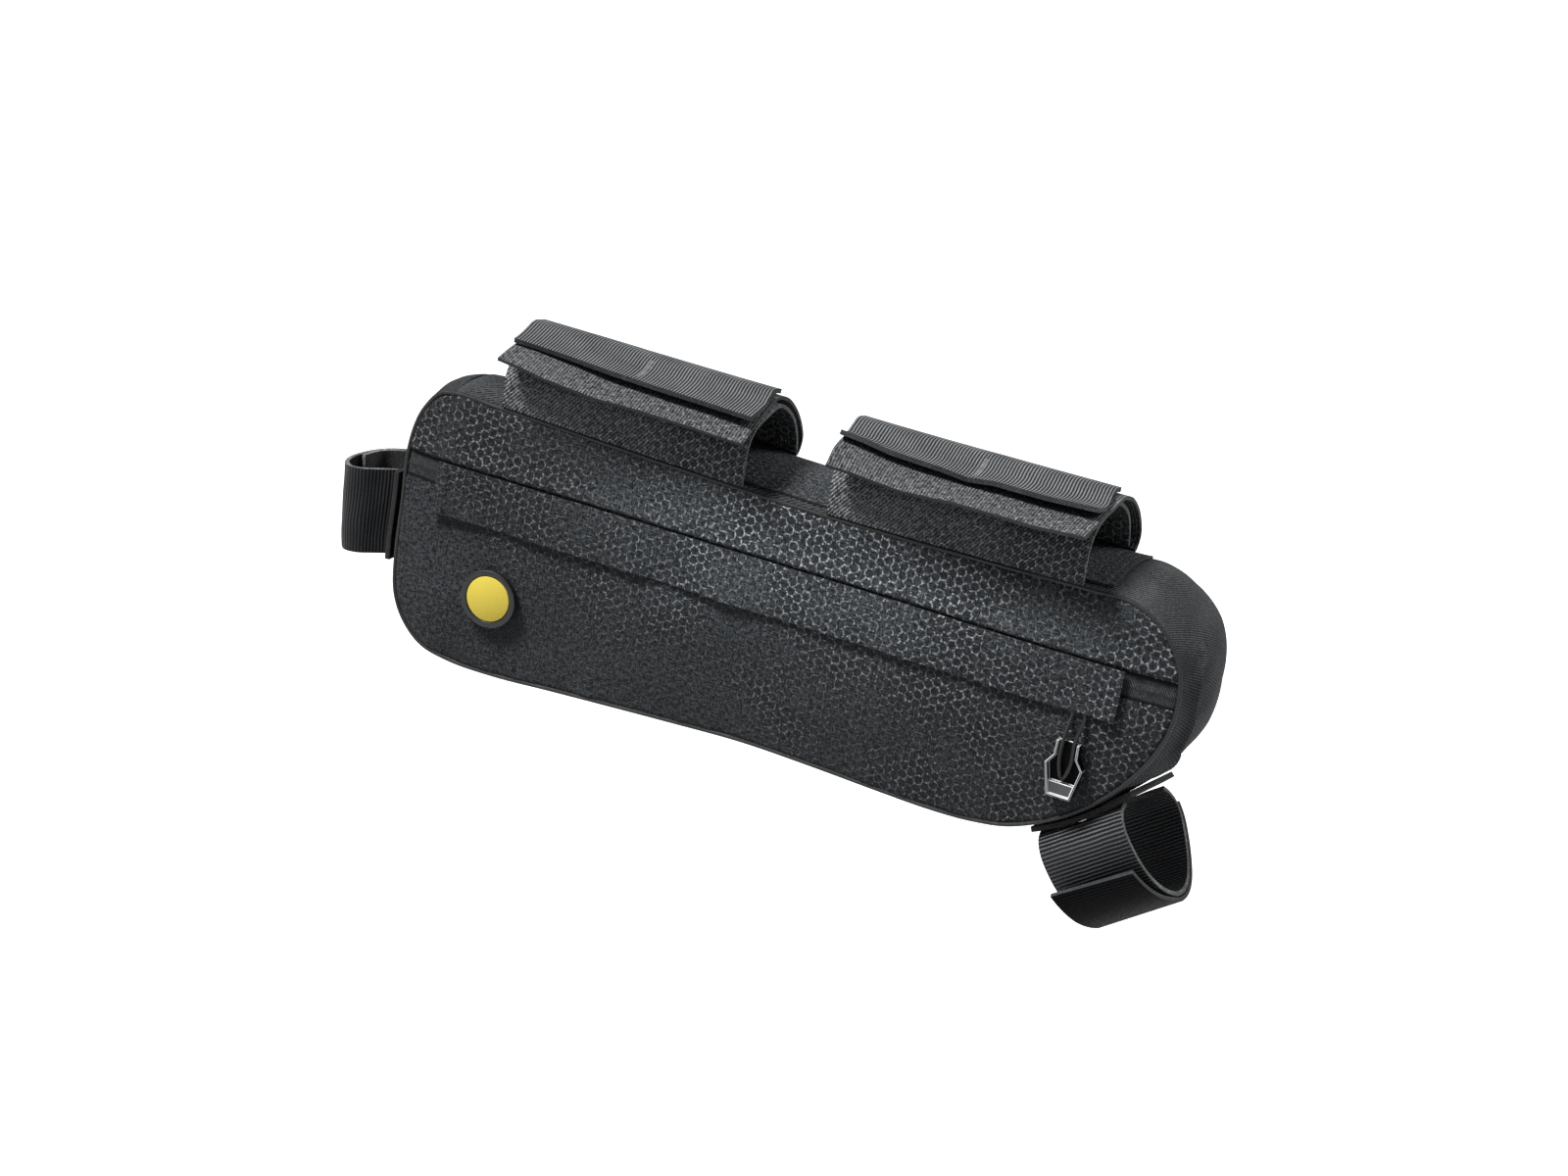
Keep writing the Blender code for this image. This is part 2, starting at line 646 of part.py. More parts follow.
def make_cuffs(cloth, webbing):
    above_inner = CUFF_CLOTH + CLEARANCE
    above_outer = above_inner + CUFF_CLOTH + CLEARANCE
    for row, span in zip(CUFF_ROWS, cuff_spans()):
        flare = (row["rear_flare"], row["front_flare"])
        strip_flare = (flare[0] * CUFF_STRIP_FLARE, flare[1] * CUFF_STRIP_FLARE)
        cuff_layer(row["name"] + "_inner", CUFF_INNER_ROWS, 0.0, CUFF_CLOTH, span, (4, 16), cloth)
        cuff_layer(row["name"] + "_outer", CUFF_OUTER_ROWS, above_inner, CUFF_CLOTH, span, (8, 18), cloth,
                   flare, CUFF_FREE_EDGE_WAVE)
        cuff_layer(row["name"] + "_webbing", CUFF_WEBBING_ROWS, above_outer, WEBBING_THICKNESS, span, (8, 8),
                   webbing, strip_flare, CUFF_FREE_EDGE_WAVE)


# The strap for the seat tube

def make_rear_strap(webbing, canvas):
    down = Vector((math.sin(REAR_STRAP_LEAN), 0.0, -math.cos(REAR_STRAP_LEAN)))
    out = Vector((-math.cos(REAR_STRAP_LEAN), 0.0, -math.sin(REAR_STRAP_LEAN)))
    head = TOP_SEAM - REAR_STRAP_DROP
    plate_half = REAR_LOOP_WIDTH / 2 + REAR_PLATE_MARGIN
    seat = 2.0 * CLEARANCE + BASE_PLATE_THICKNESS + WEBBING_THICKNESS / 2

    def rooted(y, share, lift):
        """A point on the upright line where the strap is sewn, a lift away from the gusset."""
        z = head + down.z * REAR_WEBBING_WIDTH * share
        seam_x = crossing(SEAM_LINE, 1, z, False)
        return Vector((seam_x - GUSSET_EDGE_RISE - GUSSET_CROWN - lift, y, z))

    def plate_place(across, share):
        y = REAR_LOOP_CENTRE + mix(-plate_half, plate_half, across)
        height_share = mix(-REAR_PLATE_MARGIN, REAR_WEBBING_WIDTH + REAR_PLATE_MARGIN, share) / REAR_WEBBING_WIDTH
        return rooted(y, height_share, CLEARANCE + BASE_PLATE_THICKNESS / 2)

    sheet("rear_strap_base", plate_place, (6, 5), BASE_PLATE_THICKNESS, canvas)
    chosen = [Vector((-reach * REAR_LOOP_REACH, side * REAR_LOOP_WIDTH)) for reach, side in REAR_LOOP_ROWS]
    path = smooth_path(chosen, REAR_LOOP_STEPS)
    fold = REAR_LOOP_STEPS * 5 // 9
    lining = moved_out(path[fold:], -WEBBING_THICKNESS - CLEARANCE)

    def band(name, route, last, steps):
        def place(around, share):
            point = path_at(route, around * last)
            reach = max(-point.x, 0.0) * (1.0 - REAR_LOOP_TAPER * share)
            return rooted(REAR_LOOP_CENTRE + point.y, share, seat) + out * reach

        sheet(name, place, steps, WEBBING_THICKNESS, webbing)

    band("rear_strap_loop", path, 1.0, (REAR_LOOP_STEPS, 3))
    band("rear_strap_lining", lining, REAR_LINING_END, (10, 3))


# The strap for the down tube

def make_front_strap(webbing, canvas):
    along = Vector((math.cos(FRONT_STRAP_SLOPE), math.sin(FRONT_STRAP_SLOPE)))
    below = Vector((along.y, -along.x))
    middle_x = -REAR_END - FRONT_STRAP_FROM_END
    middle = Vector((middle_x, crossing(OUTLINE, 0, middle_x, False)))
    near = [index for index, point in enumerate(SEAM_LINE)
            if (point - middle).dot(below) > -FRONT_LOOP_HALF_WIDTH and abs((point - middle).dot(along)) < 0.06]
    near.sort(key=lambda index: (SEAM_LINE[index] - middle).dot(along))
    seat_rise = max(gusset_swell(y * 0.001, middle_x) - FRONT_PLATE_SLANT * y * 0.001 for y in range(-25, 26))

    def seam_at(run, lift):
        """The depth of a line that stands off the seam by a lift, at a run along the strap's axis."""
        line = [SEAM_LINE[index] + OUTWARD[index] * lift - middle for index in near]
        for low, high in zip(line, line[1:]):
            if low.dot(along) <= run <= high.dot(along):
                share = (run - low.dot(along)) / (high.dot(along) - low.dot(along))
                return mix(low.dot(below), high.dot(below), share)
        return line[-1].dot(below)

    def plate_depth(run, y, lift):
        standing_off = FRONT_PLATE_STANDOFF * (max(run, 0.0) / FRONT_PLATE_FRONT_REACH) ** 2
        return seam_at(run, seat_rise + FRONT_PLATE_SLANT * y + lift) + standing_off

    def world(run, y, depth):
        flat = middle + along * run + below * depth
        return Vector((flat.x, y, flat.y))

    def plate_place(lengthwise, across):
        run = mix(-FRONT_PLATE_REAR_REACH, FRONT_PLATE_FRONT_REACH, lengthwise)
        y = mix(-FRONT_PLATE_HALF_WIDTH, FRONT_PLATE_HALF_WIDTH, across)
        return world(run, y, plate_depth(run, y, CLEARANCE + BASE_PLATE_THICKNESS / 2))

    sheet("front_strap_base", plate_place, (10, 6), BASE_PLATE_THICKNESS, canvas)
    chosen = [Vector((side * FRONT_LOOP_HALF_WIDTH, -depth * FRONT_LOOP_DEPTH)) for side, depth in FRONT_LOOP_ROWS]
    path = smooth_path(chosen, FRONT_LOOP_STEPS)
    seat = 2.0 * CLEARANCE + BASE_PLATE_THICKNESS + WEBBING_THICKNESS / 2

    def loop_place(around, share):
        run = (share - 0.5) * FRONT_WEBBING_WIDTH
        point = path_at(path, around)
        return world(run, point.x, max(-point.y, plate_depth(run, point.x, seat)))

    sheet("front_strap_loop", loop_place, (FRONT_LOOP_STEPS, 3), WEBBING_THICKNESS, webbing)

    outside = left_normals(path)

    def tab_place(around, share):
        run = (share - 0.5) * FRONT_WEBBING_WIDTH
        at = mix(TAB_BACK_STEP, TAB_FREE_STEP, around) / FRONT_LOOP_STEPS
        free = max((around - TAB_PARTS_AT) / (1.0 - TAB_PARTS_AT), 0.0) ** 1.6
        lift = WEBBING_THICKNESS + 1.5 * CLEARANCE + free * mix(TAB_FREE_LIFT_REAR, TAB_FREE_LIFT_FRONT, share)
        point = path_at(path, at) - path_at(outside, at) * lift
        return world(run, point.x, -point.y)

    sheet("front_strap_tab", tab_place, (TAB_BACK_STEP - TAB_FREE_STEP, 3), WEBBING_THICKNESS, webbing)


clear_scene()
BAG = new_collection("frame_bag")
CUTTERS = new_collection("cutters")
ripstop = finish("ripstop_cloth", (0.045, 0.047, 0.050), 0.75)
gusset_canvas = finish("gusset_canvas", (0.035, 0.036, 0.038), 0.85)
webbing_weave = finish("ribbed_webbing", (0.020, 0.021, 0.024), 0.70)
tape_mesh = finish("zip_tape_cloth", (0.030, 0.031, 0.033), 0.60)
bead_cloth = finish("seam_binding", (0.020, 0.020, 0.021), 0.80)
cord_braid = finish("pull_cord_braid", (0.015, 0.015, 0.016), 0.60)
grip_moulding = finish("grip_moulding", (0.030, 0.031, 0.033), 0.30)
badge_rubber = finish("badge_rubber", (0.018, 0.018, 0.019), 0.55)
badge_yellow = finish("badge_yellow", (0.86, 0.68, 0.06), 0.40)
make_panels(ripstop, tape_mesh)
make_gusset(gusset_canvas)
make_beads(bead_cloth)
make_flap(ripstop)
make_top_patch(gusset_canvas)
make_pull(grip_moulding, cord_braid)
make_badge(badge_rubber, badge_yellow)
make_cuffs(ripstop, webbing_weave)
make_rear_strap(webbing_weave, gusset_canvas)
make_front_strap(webbing_weave, gusset_canvas)
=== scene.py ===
"""The looks of a bicycle frame bag: honeycomb ripstop panels, a canvas gusset, hook-and-loop cuffs and
ribbed webbing straps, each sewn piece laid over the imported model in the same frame, in metres."""
import logging
import math
from dataclasses import dataclass, field
from enum import Enum
from typing import Callable, Optional, Sequence, Union

import bpy
import numpy as np
from mathutils import Matrix, Vector


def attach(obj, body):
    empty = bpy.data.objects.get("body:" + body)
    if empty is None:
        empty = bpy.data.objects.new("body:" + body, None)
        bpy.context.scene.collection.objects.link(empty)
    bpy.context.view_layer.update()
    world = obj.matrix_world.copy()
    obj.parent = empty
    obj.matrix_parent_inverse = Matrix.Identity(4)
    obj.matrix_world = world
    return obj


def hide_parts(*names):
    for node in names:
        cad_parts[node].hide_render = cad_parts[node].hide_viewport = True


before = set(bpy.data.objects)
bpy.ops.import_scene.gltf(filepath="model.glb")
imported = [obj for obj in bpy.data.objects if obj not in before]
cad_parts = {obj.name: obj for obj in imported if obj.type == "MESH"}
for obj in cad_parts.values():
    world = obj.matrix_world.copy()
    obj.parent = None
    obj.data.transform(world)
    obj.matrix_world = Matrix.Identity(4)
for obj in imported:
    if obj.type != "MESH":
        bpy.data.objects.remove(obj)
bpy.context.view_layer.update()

LOG = logging.getLogger("frame bag")
Array = np.ndarray
Place = Callable[[Array, Array], Array]
Number = Union["Socket", float]
Colour = tuple[float, float, float]
CLOTH_MAP = "cloth"
FRONT = (0.0, -1.0, 0.0)
BACK = (0.0, 1.0, 0.0)


class Around(Enum):
    """Whether a sheet is open or comes back to where it began."""

    OPEN = "open"
    CLOSED = "closed"


class Wall(Enum):
    """On which side of its surface a sheet has its thickness."""

    CENTRED = 0.0
    INWARDS = -1.0
    OUTWARDS = 1.0


# Shader maths


def maths(operation: str, swapped: bool = False) -> Callable[..., "Socket"]:
    """A method of Socket that adds one Math node.

    Args:
        operation: The node's operation.
        swapped: Whether the other value stands first.

    Returns:
        The method, which takes the other values.
    """

    def method(self: "Socket", *others: Number) -> "Socket":
        values = [*others, self] if swapped else [self, *others]
        return self.shader.node("ShaderNodeMath", {"operation": operation}, dict(enumerate(values)))

    return method


class Socket:
    """A node's output that can stand in a sum."""

    __add__ = __radd__ = maths("ADD")
    __sub__ = maths("SUBTRACT")
    __rsub__ = maths("SUBTRACT", True)
    __mul__ = __rmul__ = maths("MULTIPLY")
    __truediv__ = maths("DIVIDE")
    __pow__ = maths("POWER")
    __abs__ = maths("ABSOLUTE")
    sine = maths("SINE")
    smaller = maths("MINIMUM")
    larger = maths("MAXIMUM")
    under = maths("LESS_THAN")
    modulo = maths("FLOORED_MODULO")

    def __init__(self, shader: "Shader", output: bpy.types.NodeSocket) -> None:
        """Keep the output and the shader that it belongs to."""
        self.shader = shader
        self.output = output

    def wrapped(self) -> "Socket":
        """The part after the point, also for values under nothing."""
        return self.modulo(1.0)

    def ramp(self, low: float, high: float, start: float = 0.0, end: float = 1.0) -> "Socket":
        """A smooth step from start at low to end at high.

        Args:
            low: The value where the step starts.
            high: The value where it ends.
            start: The result at and under low.
            end: The result at and over high.

        Returns:
            The step's socket.
        """
        inputs = {"Value": self, "From Min": low, "From Max": high, "To Min": start, "To Max": end}
        return self.shader.node("ShaderNodeMapRange", {"interpolation_type": "SMOOTHSTEP"}, inputs)


class Shader:
    """One material and the nodes that make it."""

    def __init__(self, name: str) -> None:
        """Start a material with its own Principled shader.

        Args:
            name: The material's name.
        """
        self.material = bpy.data.materials.new(name)
        self.material.use_nodes = True
        self.tree = self.material.node_tree
        self.surface = self.tree.nodes["Principled BSDF"]

    def node(self, kind: str, settings: Optional[dict] = None, inputs: Optional[dict] = None,
             output: int = 0) -> Socket:
        """Add one node.

        Args:
            kind: The node's type.
            settings: Its own settings, set before anything is linked.
            inputs: Values or sockets for its inputs, by name or number.
            output: The number of the output to return.

        Returns:
            The output's socket.
        """
        made = self.tree.nodes.new(kind)
        for name, value in (settings or {}).items():
            setattr(made, name, value)
        for key, value in (inputs or {}).items():
            self.feed(made.inputs[key], value)
        return Socket(self, made.outputs[output])

    def feed(self, target: bpy.types.NodeSocket, value: object) -> None:
        """Link a socket to an input, or set the input's own value."""
        if isinstance(value, Socket):
            self.tree.links.new(value.output, target)
        else:
            target.default_value = value

    def surface_input(self, name: str, value: object) -> None:
        """Set or link one input of the Principled shader."""
        self.feed(self.surface.inputs[name], value)

    def coat(self, colour: Union[Socket, tuple], roughness: Number, gloss: Number = 0.5) -> None:
        """Set the surface's colour, roughness and specular level."""
        self.surface_input("Base Color", colour)
        self.surface_input("Roughness", roughness)
        self.surface_input("Specular IOR Level", gloss)

    def cloth_map(self) -> tuple[Socket, Socket, Socket]:
        """The piece's own map in metres: along, across and both as a vector."""
        both = self.node("ShaderNodeUVMap", {"uv_map": CLOTH_MAP})
        along, across = self.parts(both)[:2]
        return along, across, both

    def place(self) -> tuple[Socket, Socket]:
        """Object coordinates: the height and all three as a vector."""
        both = self.node("ShaderNodeTexCoord", output=3)
        return self.parts(both)[2], both

    def parts(self, vector: Socket) -> list[Socket]:
        """The three numbers of a vector."""
        made = self.tree.nodes.new("ShaderNodeSeparateXYZ")
        self.feed(made.inputs[0], vector)
        return [Socket(self, made.outputs[index]) for index in range(3)]

    def noise(self, vector: Socket, scale: float, detail: float = 3.0, roughness: float = 0.55) -> Socket:
        """Cloudy noise from 0 to 1 at a number of cells for each metre."""
        inputs = {"Vector": vector, "Scale": scale, "Detail": detail, "Roughness": roughness}
        return self.node("ShaderNodeTexNoise", None, inputs)

    def blend(self, first: Union[Socket, Colour], second: Union[Socket, Colour], share: Number) -> Socket:
        """A colour between two colours."""
        ends = [end if isinstance(end, Socket) else (*end, 1.0) for end in (first, second)]
        return self.node("ShaderNodeMix", {"data_type": "RGBA"}, {0: share, 6: ends[0], 7: ends[1]}, 2)

    def stretched(self, vector: Socket, along: float, across: float) -> Socket:
        """A map's vector with its two directions scaled."""
        inputs = {0: vector, 1: (along, across, 1.0)}
        return self.node("ShaderNodeVectorMath", {"operation": "MULTIPLY"}, inputs)

    def fibres(self, vector: Socket, scale: float) -> Socket:
        """Fine light threads that run both ways, 0 to 1."""
        lying = self.noise(self.stretched(vector, 0.26, 1.0), scale, 1.0)
        standing = self.noise(self.stretched(vector, 1.0, 0.26), scale, 1.0)
        return lying.larger(standing)

    def brightened(self, colour: Socket, factor: Number) -> Socket:
        """A colour made lighter or darker by a factor."""
        grey = self.node("ShaderNodeCombineXYZ", None, {0: factor, 1: factor, 2: factor})
        return self.node("ShaderNodeVectorMath", {"operation": "MULTIPLY"}, {0: colour, 1: grey})

    def bump(self, height: Number, distance: float, strength: float = 1.0) -> None:
        """Give the surface a relief.

        Args:
            height: The relief, about 0 to 1.
            distance: What a height of 1 measures, in metres.
            strength: How strongly the relief tilts the light.
        """
        inputs = {"Strength": strength, "Distance": distance, "Height": height}
        self.surface_input("Normal", self.node("ShaderNodeBump", None, inputs))


# Finishes


@dataclass(frozen=True)
class Finish:
    """A material that is made on its first use."""

    name: str

    def build(self) -> bpy.types.Material:
        """Make the material and let the kind of finish paint it."""
        shader = Shader(self.name)
        self.paint(shader)
        return shader.material

    def paint(self, shader: Shader) -> None:
        """Lay colour, gloss and relief on the shader."""


@dataclass(frozen=True)
class Honeycomb(Finish):
    """Ripstop cloth: dark round cells between lighter threads that make a grid of hexagons."""

    cell: Colour = (0.014, 0.0155, 0.017)
    ground: Colour = (0.034, 0.037, 0.040)
    thread: Colour = (0.155, 0.162, 0.170)
    pitch: float = 0.0039
    dash: float = 0.00169
    dash_across: float = 0.0021
    lean: float = 0.05
    rib: float = 0.0
    rib_pitch: float = 0.0011
    rib_lean: float = 0.0
    strength: float = 1.0
    # When this is on, the hexagon pattern fades towards the lower rear corner, and a painted sheen lightens
    # the middle of the panels' upper part.
    fade_and_sheen: bool = False

    def paint(self, shader: Shader) -> None:
        """Lay colour, gloss and relief on the shader."""
        along, across, both = shader.cloth_map()
        root = math.sqrt(3.0)
        x = (across + along * self.lean) / self.pitch
        y = along / (self.pitch * root)
        first = (x.wrapped() - 0.5, (y.wrapped() - 0.5) * root)
        second = ((x + 0.5).wrapped() - 0.5, ((y + 0.5).wrapped() - 0.5) * root)
        far_first = first[0] * first[0] + first[1] * first[1]
        far_second = second[0] * second[0] + second[1] * second[1]
        nearer = far_first.under(far_second)
        inside = [abs(second[axis] + (first[axis] - second[axis]) * nearer) for axis in (0, 1)]
        corner = inside[0].larger(inside[0] * 0.5 + inside[1] * (root / 2))
        distance = far_first.smaller(far_second) ** 0.5
        between = (corner * 0.6 + distance * 0.4).ramp(0.355, 0.50)
        fibres = shader.fibres(both, 1500.0)
        grain = shader.noise(both, 1500.0, 2.0)
        clouds = shader.noise(both, 17.0, 3.0, 0.6)
        patches = clouds.ramp(0.36, 0.62, 0.20, 1.0)
        worn = shader.noise(both, 9.0, 3.0, 0.6)
        shade = fibres.ramp(0.44, 0.66, 0.30, 2.05) + (grain - 0.5) * 1.5 + (worn - 0.5) * 0.6
        if self.fade_and_sheen:
            patches = patches * ((along + 0.13) * 10.0 + (across + 0.075) * 33.0).ramp(-0.4, 0.9, 0.15, 1.0)
            # Painted sheen: around the middle of the bag's length, less towards the front, and over the
            # panels' upper part the colour is made up to 1.6 times brighter, a broad highlight painted in;
            # everywhere else it is made 0.88 times as bright.
            painted_sheen = along.ramp(-0.12, -0.02) * along.ramp(0.03, 0.12, 1.0, 0.35) * across.ramp(-0.085, -0.050)
            shade = shade * (painted_sheen * 0.72 + 0.88)
        sway = (across * (2.0 * math.pi / self.dash_across)).sine() * 1.2
        dashes = (along * (2.0 * math.pi / self.dash) + sway).sine().ramp(-0.7, 0.8, 0.40, 1.30)
        lit = between * fibres.ramp(0.46, 0.66, 0.10, 1.0) * dashes * patches * self.strength
        base = shader.blend(self.ground, self.cell, (1.0 - between) * patches)
        colour = shader.blend(base, self.thread, lit.smaller(1.0))
        relief = between * 0.45 + fibres * 0.9 + grain * 0.35
        if self.rib:
            rib = abs(((along + across * self.rib_lean) * (math.pi / self.rib_pitch)).sine())
            shade = shade + (rib - 0.6) * self.rib
            relief = relief + rib * self.rib
        shader.coat(shader.brightened(colour, shade.larger(0.15)), grain.ramp(0.2, 0.8, 0.60, 0.85), 0.14)
        shader.bump(relief, 0.00022, 0.9)


@dataclass(frozen=True)
class Canvas(Finish):
    """Dull woven cloth with a fine diagonal twill. Given a height, it gets painted shade along both long
    edges.
    """

    dark: Colour = (0.012, 0.013, 0.0145)
    light: Colour = (0.062, 0.067, 0.072)
    twill: float = 0.0013
    gain: float = 1.0
    # height: the cloth's width across; when set, both long edges get painted shade, the shadow where the zip
    # tape meets the seams.
    height: float = 0.0

    def paint(self, shader: Shader) -> None:
        """Lay colour, gloss and relief on the shader."""
        along, across, both = shader.cloth_map()
        drift = shader.noise(both, 220.0, 2.0)
        line = ((along + across * 0.62) * (2.0 * math.pi / self.twill) + drift * 2.2).sine()
        grain = shader.fibres(both, 1600.0)
        worn = shader.noise(both, 22.0, 3.0)
        share = line.ramp(-0.3, 0.9) * 0.60 + grain.ramp(0.45, 0.70) * 0.50 + (worn - 0.5) * 0.5
        colour = shader.blend(self.dark, self.light, share.smaller(1.0).larger(0.0))
        factor = worn.ramp(0.3, 0.7, 0.85, 1.2) * self.gain
        if self.height:
            # Painted shade: the outer 0.6 mm at each edge is darkened to a quarter, easing back over the next
            # millimetre.
            border = abs(across - self.height / 2)
            factor = factor * border.ramp(self.height / 2 - 0.0016, self.height / 2 - 0.0006, 1.0, 0.25)
        shader.coat(shader.brightened(colour, factor), grain.ramp(0.2, 0.8, 0.70, 0.92), 0.12)
        shader.bump(line * 0.35 + grain * 0.9, 0.00018, 0.8)


@dataclass(frozen=True)
class Ribbed(Finish):
    """Webbing whose ribs lie across its length."""

    groove: Colour = (0.0016, 0.0017, 0.0020)
    rib: Colour = (0.034, 0.037, 0.042)
    pitch: float = 0.0015
    depth: float = 0.00042
    gloss: float = 0.20
    solid: float = 0.60

    def paint(self, shader: Shader) -> None:
        """Lay colour, gloss and relief on the shader."""
        along, across, both = shader.cloth_map()
        drift = shader.noise(both, 160.0, 1.0)
        rib = abs((along * (math.pi / self.pitch) + drift * 0.9).sine())
        stitch = abs((across * (math.pi / 0.0009)).sine())
        grain = shader.noise(both, 2000.0, 2.0)
        worn = shader.noise(both, 45.0, 3.0)
        top = rib.ramp(self.solid - 0.25, 0.97)
        colour = shader.blend(self.groove, self.rib, top)
        shade = grain.ramp(0.30, 0.72, 0.45, 1.50) + stitch * 0.30 + (worn - 0.5) * 1.2
        shader.coat(shader.brightened(colour, shade.larger(0.1)),
                    grain.ramp(0.2, 0.8, 0.42, 0.70),
                    self.gloss)
        shader.bump(rib * 0.9 + stitch * 0.12 + grain * 0.12, self.depth, 0.9)


@dataclass(frozen=True)
class Pile(Finish):
    """The soft loops of a hook-and-loop strip, or its bristling hooks."""

    dark: Colour = (0.003, 0.0035, 0.0045)
    light: Colour = (0.050, 0.056, 0.068)

    def paint(self, shader: Shader) -> None:
        """Lay colour, gloss and relief on the shader."""
        both = shader.cloth_map()[2]
        curls = shader.node("ShaderNodeTexVoronoi", None, {"Vector": both, "Scale": 1500.0})
        tufts = shader.noise(both, 700.0, 4.0, 0.7)
        share = curls.ramp(0.05, 0.6, 1.0, 0.0) * tufts.ramp(0.35, 0.7)
        shader.coat(shader.blend(self.dark, self.light, share), 0.95)
        shader.surface_input("Sheen Weight", 0.25)
        shader.bump(tufts * 0.7 + share, 0.00035, 0.9)


@dataclass(frozen=True)
class CutEdge(Finish):
    """A heat-cut or frayed edge of webbing or cloth, paler than its face. The nearly black kind also serves
    as painted shade on the flap's rims.
    """

    dark: Colour = (0.05, 0.05, 0.052)
    light: Colour = (0.36, 0.36, 0.35)

    def paint(self, shader: Shader) -> None:
        """Lay colour, gloss and relief on the shader."""
        both = shader.place()[1]
        threads = shader.noise(both, 1300.0, 3.0, 0.7)
        worn = shader.noise(both, 90.0, 2.0)
        share = threads.ramp(0.40, 0.72) * worn.ramp(0.35, 0.65, 0.35, 1.0)
        shader.coat(shader.blend(self.dark, self.light, share), 0.85)
        shader.bump(threads, 0.0003, 0.8)


@dataclass(frozen=True)
class Moulded(Finish):
    """Moulded plastic or rubber with faint mould grain and scuffs."""

    colour: Colour
    scuffed: Colour
    roughness: float = 0.32
    gloss: float = 0.5

    def paint(self, shader: Shader) -> None:
        """Lay colour, gloss and relief on the shader."""
        both = shader.place()[1]
        fine = shader.noise(both, 3200.0, 3.0)
        scuffs = shader.noise(both, 420.0, 5.0, 0.7)
        colour = shader.blend(self.colour, self.scuffed, scuffs.ramp(0.52, 0.80))
        shader.coat(colour, fine * 0.14 + scuffs.ramp(0.4, 0.8, 0.0, 0.15) + self.roughness, self.gloss)
        shader.bump(fine, 0.00006, 0.6)


@dataclass(frozen=True)
class Thread(Finish):
    """Sewing thread, or a braided cord of it."""

    colour: Colour = (0.030, 0.031, 0.034)
    lay: float = 1900.0

    def paint(self, shader: Shader) -> None:
        """Lay colour, gloss and relief on the shader."""
        height, both = shader.place()
        strands = abs((height * self.lay).sine())
        fuzz = shader.noise(both, 2600.0, 2.0)
        light = tuple(min(1.0, part * 2.6) for part in self.colour)
        shader.coat(shader.blend(self.colour, light, strands * fuzz), fuzz.ramp(0.2, 0.8, 0.55, 0.8))
        shader.bump(strands * 0.7 + fuzz * 0.4, 0.00018, 0.8)


# Smooth paths


def ease(share: Array) -> Array:
    """A smooth step from 0 to 1."""
    share = np.clip(share, 0.0, 1.0)
    return share * share * (3.0 - 2.0 * share)


def mix(start: Array, end: Array, share: Array) -> Array:
    """A value between two values."""
    return start + (end - start) * share


def travelled(points: Array) -> Array:
    """How far each of a row of points is along them."""
    return np.concatenate([[0.0], np.cumsum(np.linalg.norm(np.diff(points, axis=0), axis=1))])


def unit(rows: Array) -> Array:
    """Rows of directions made one long."""
    return rows / np.linalg.norm(rows, axis=1, keepdims=True)


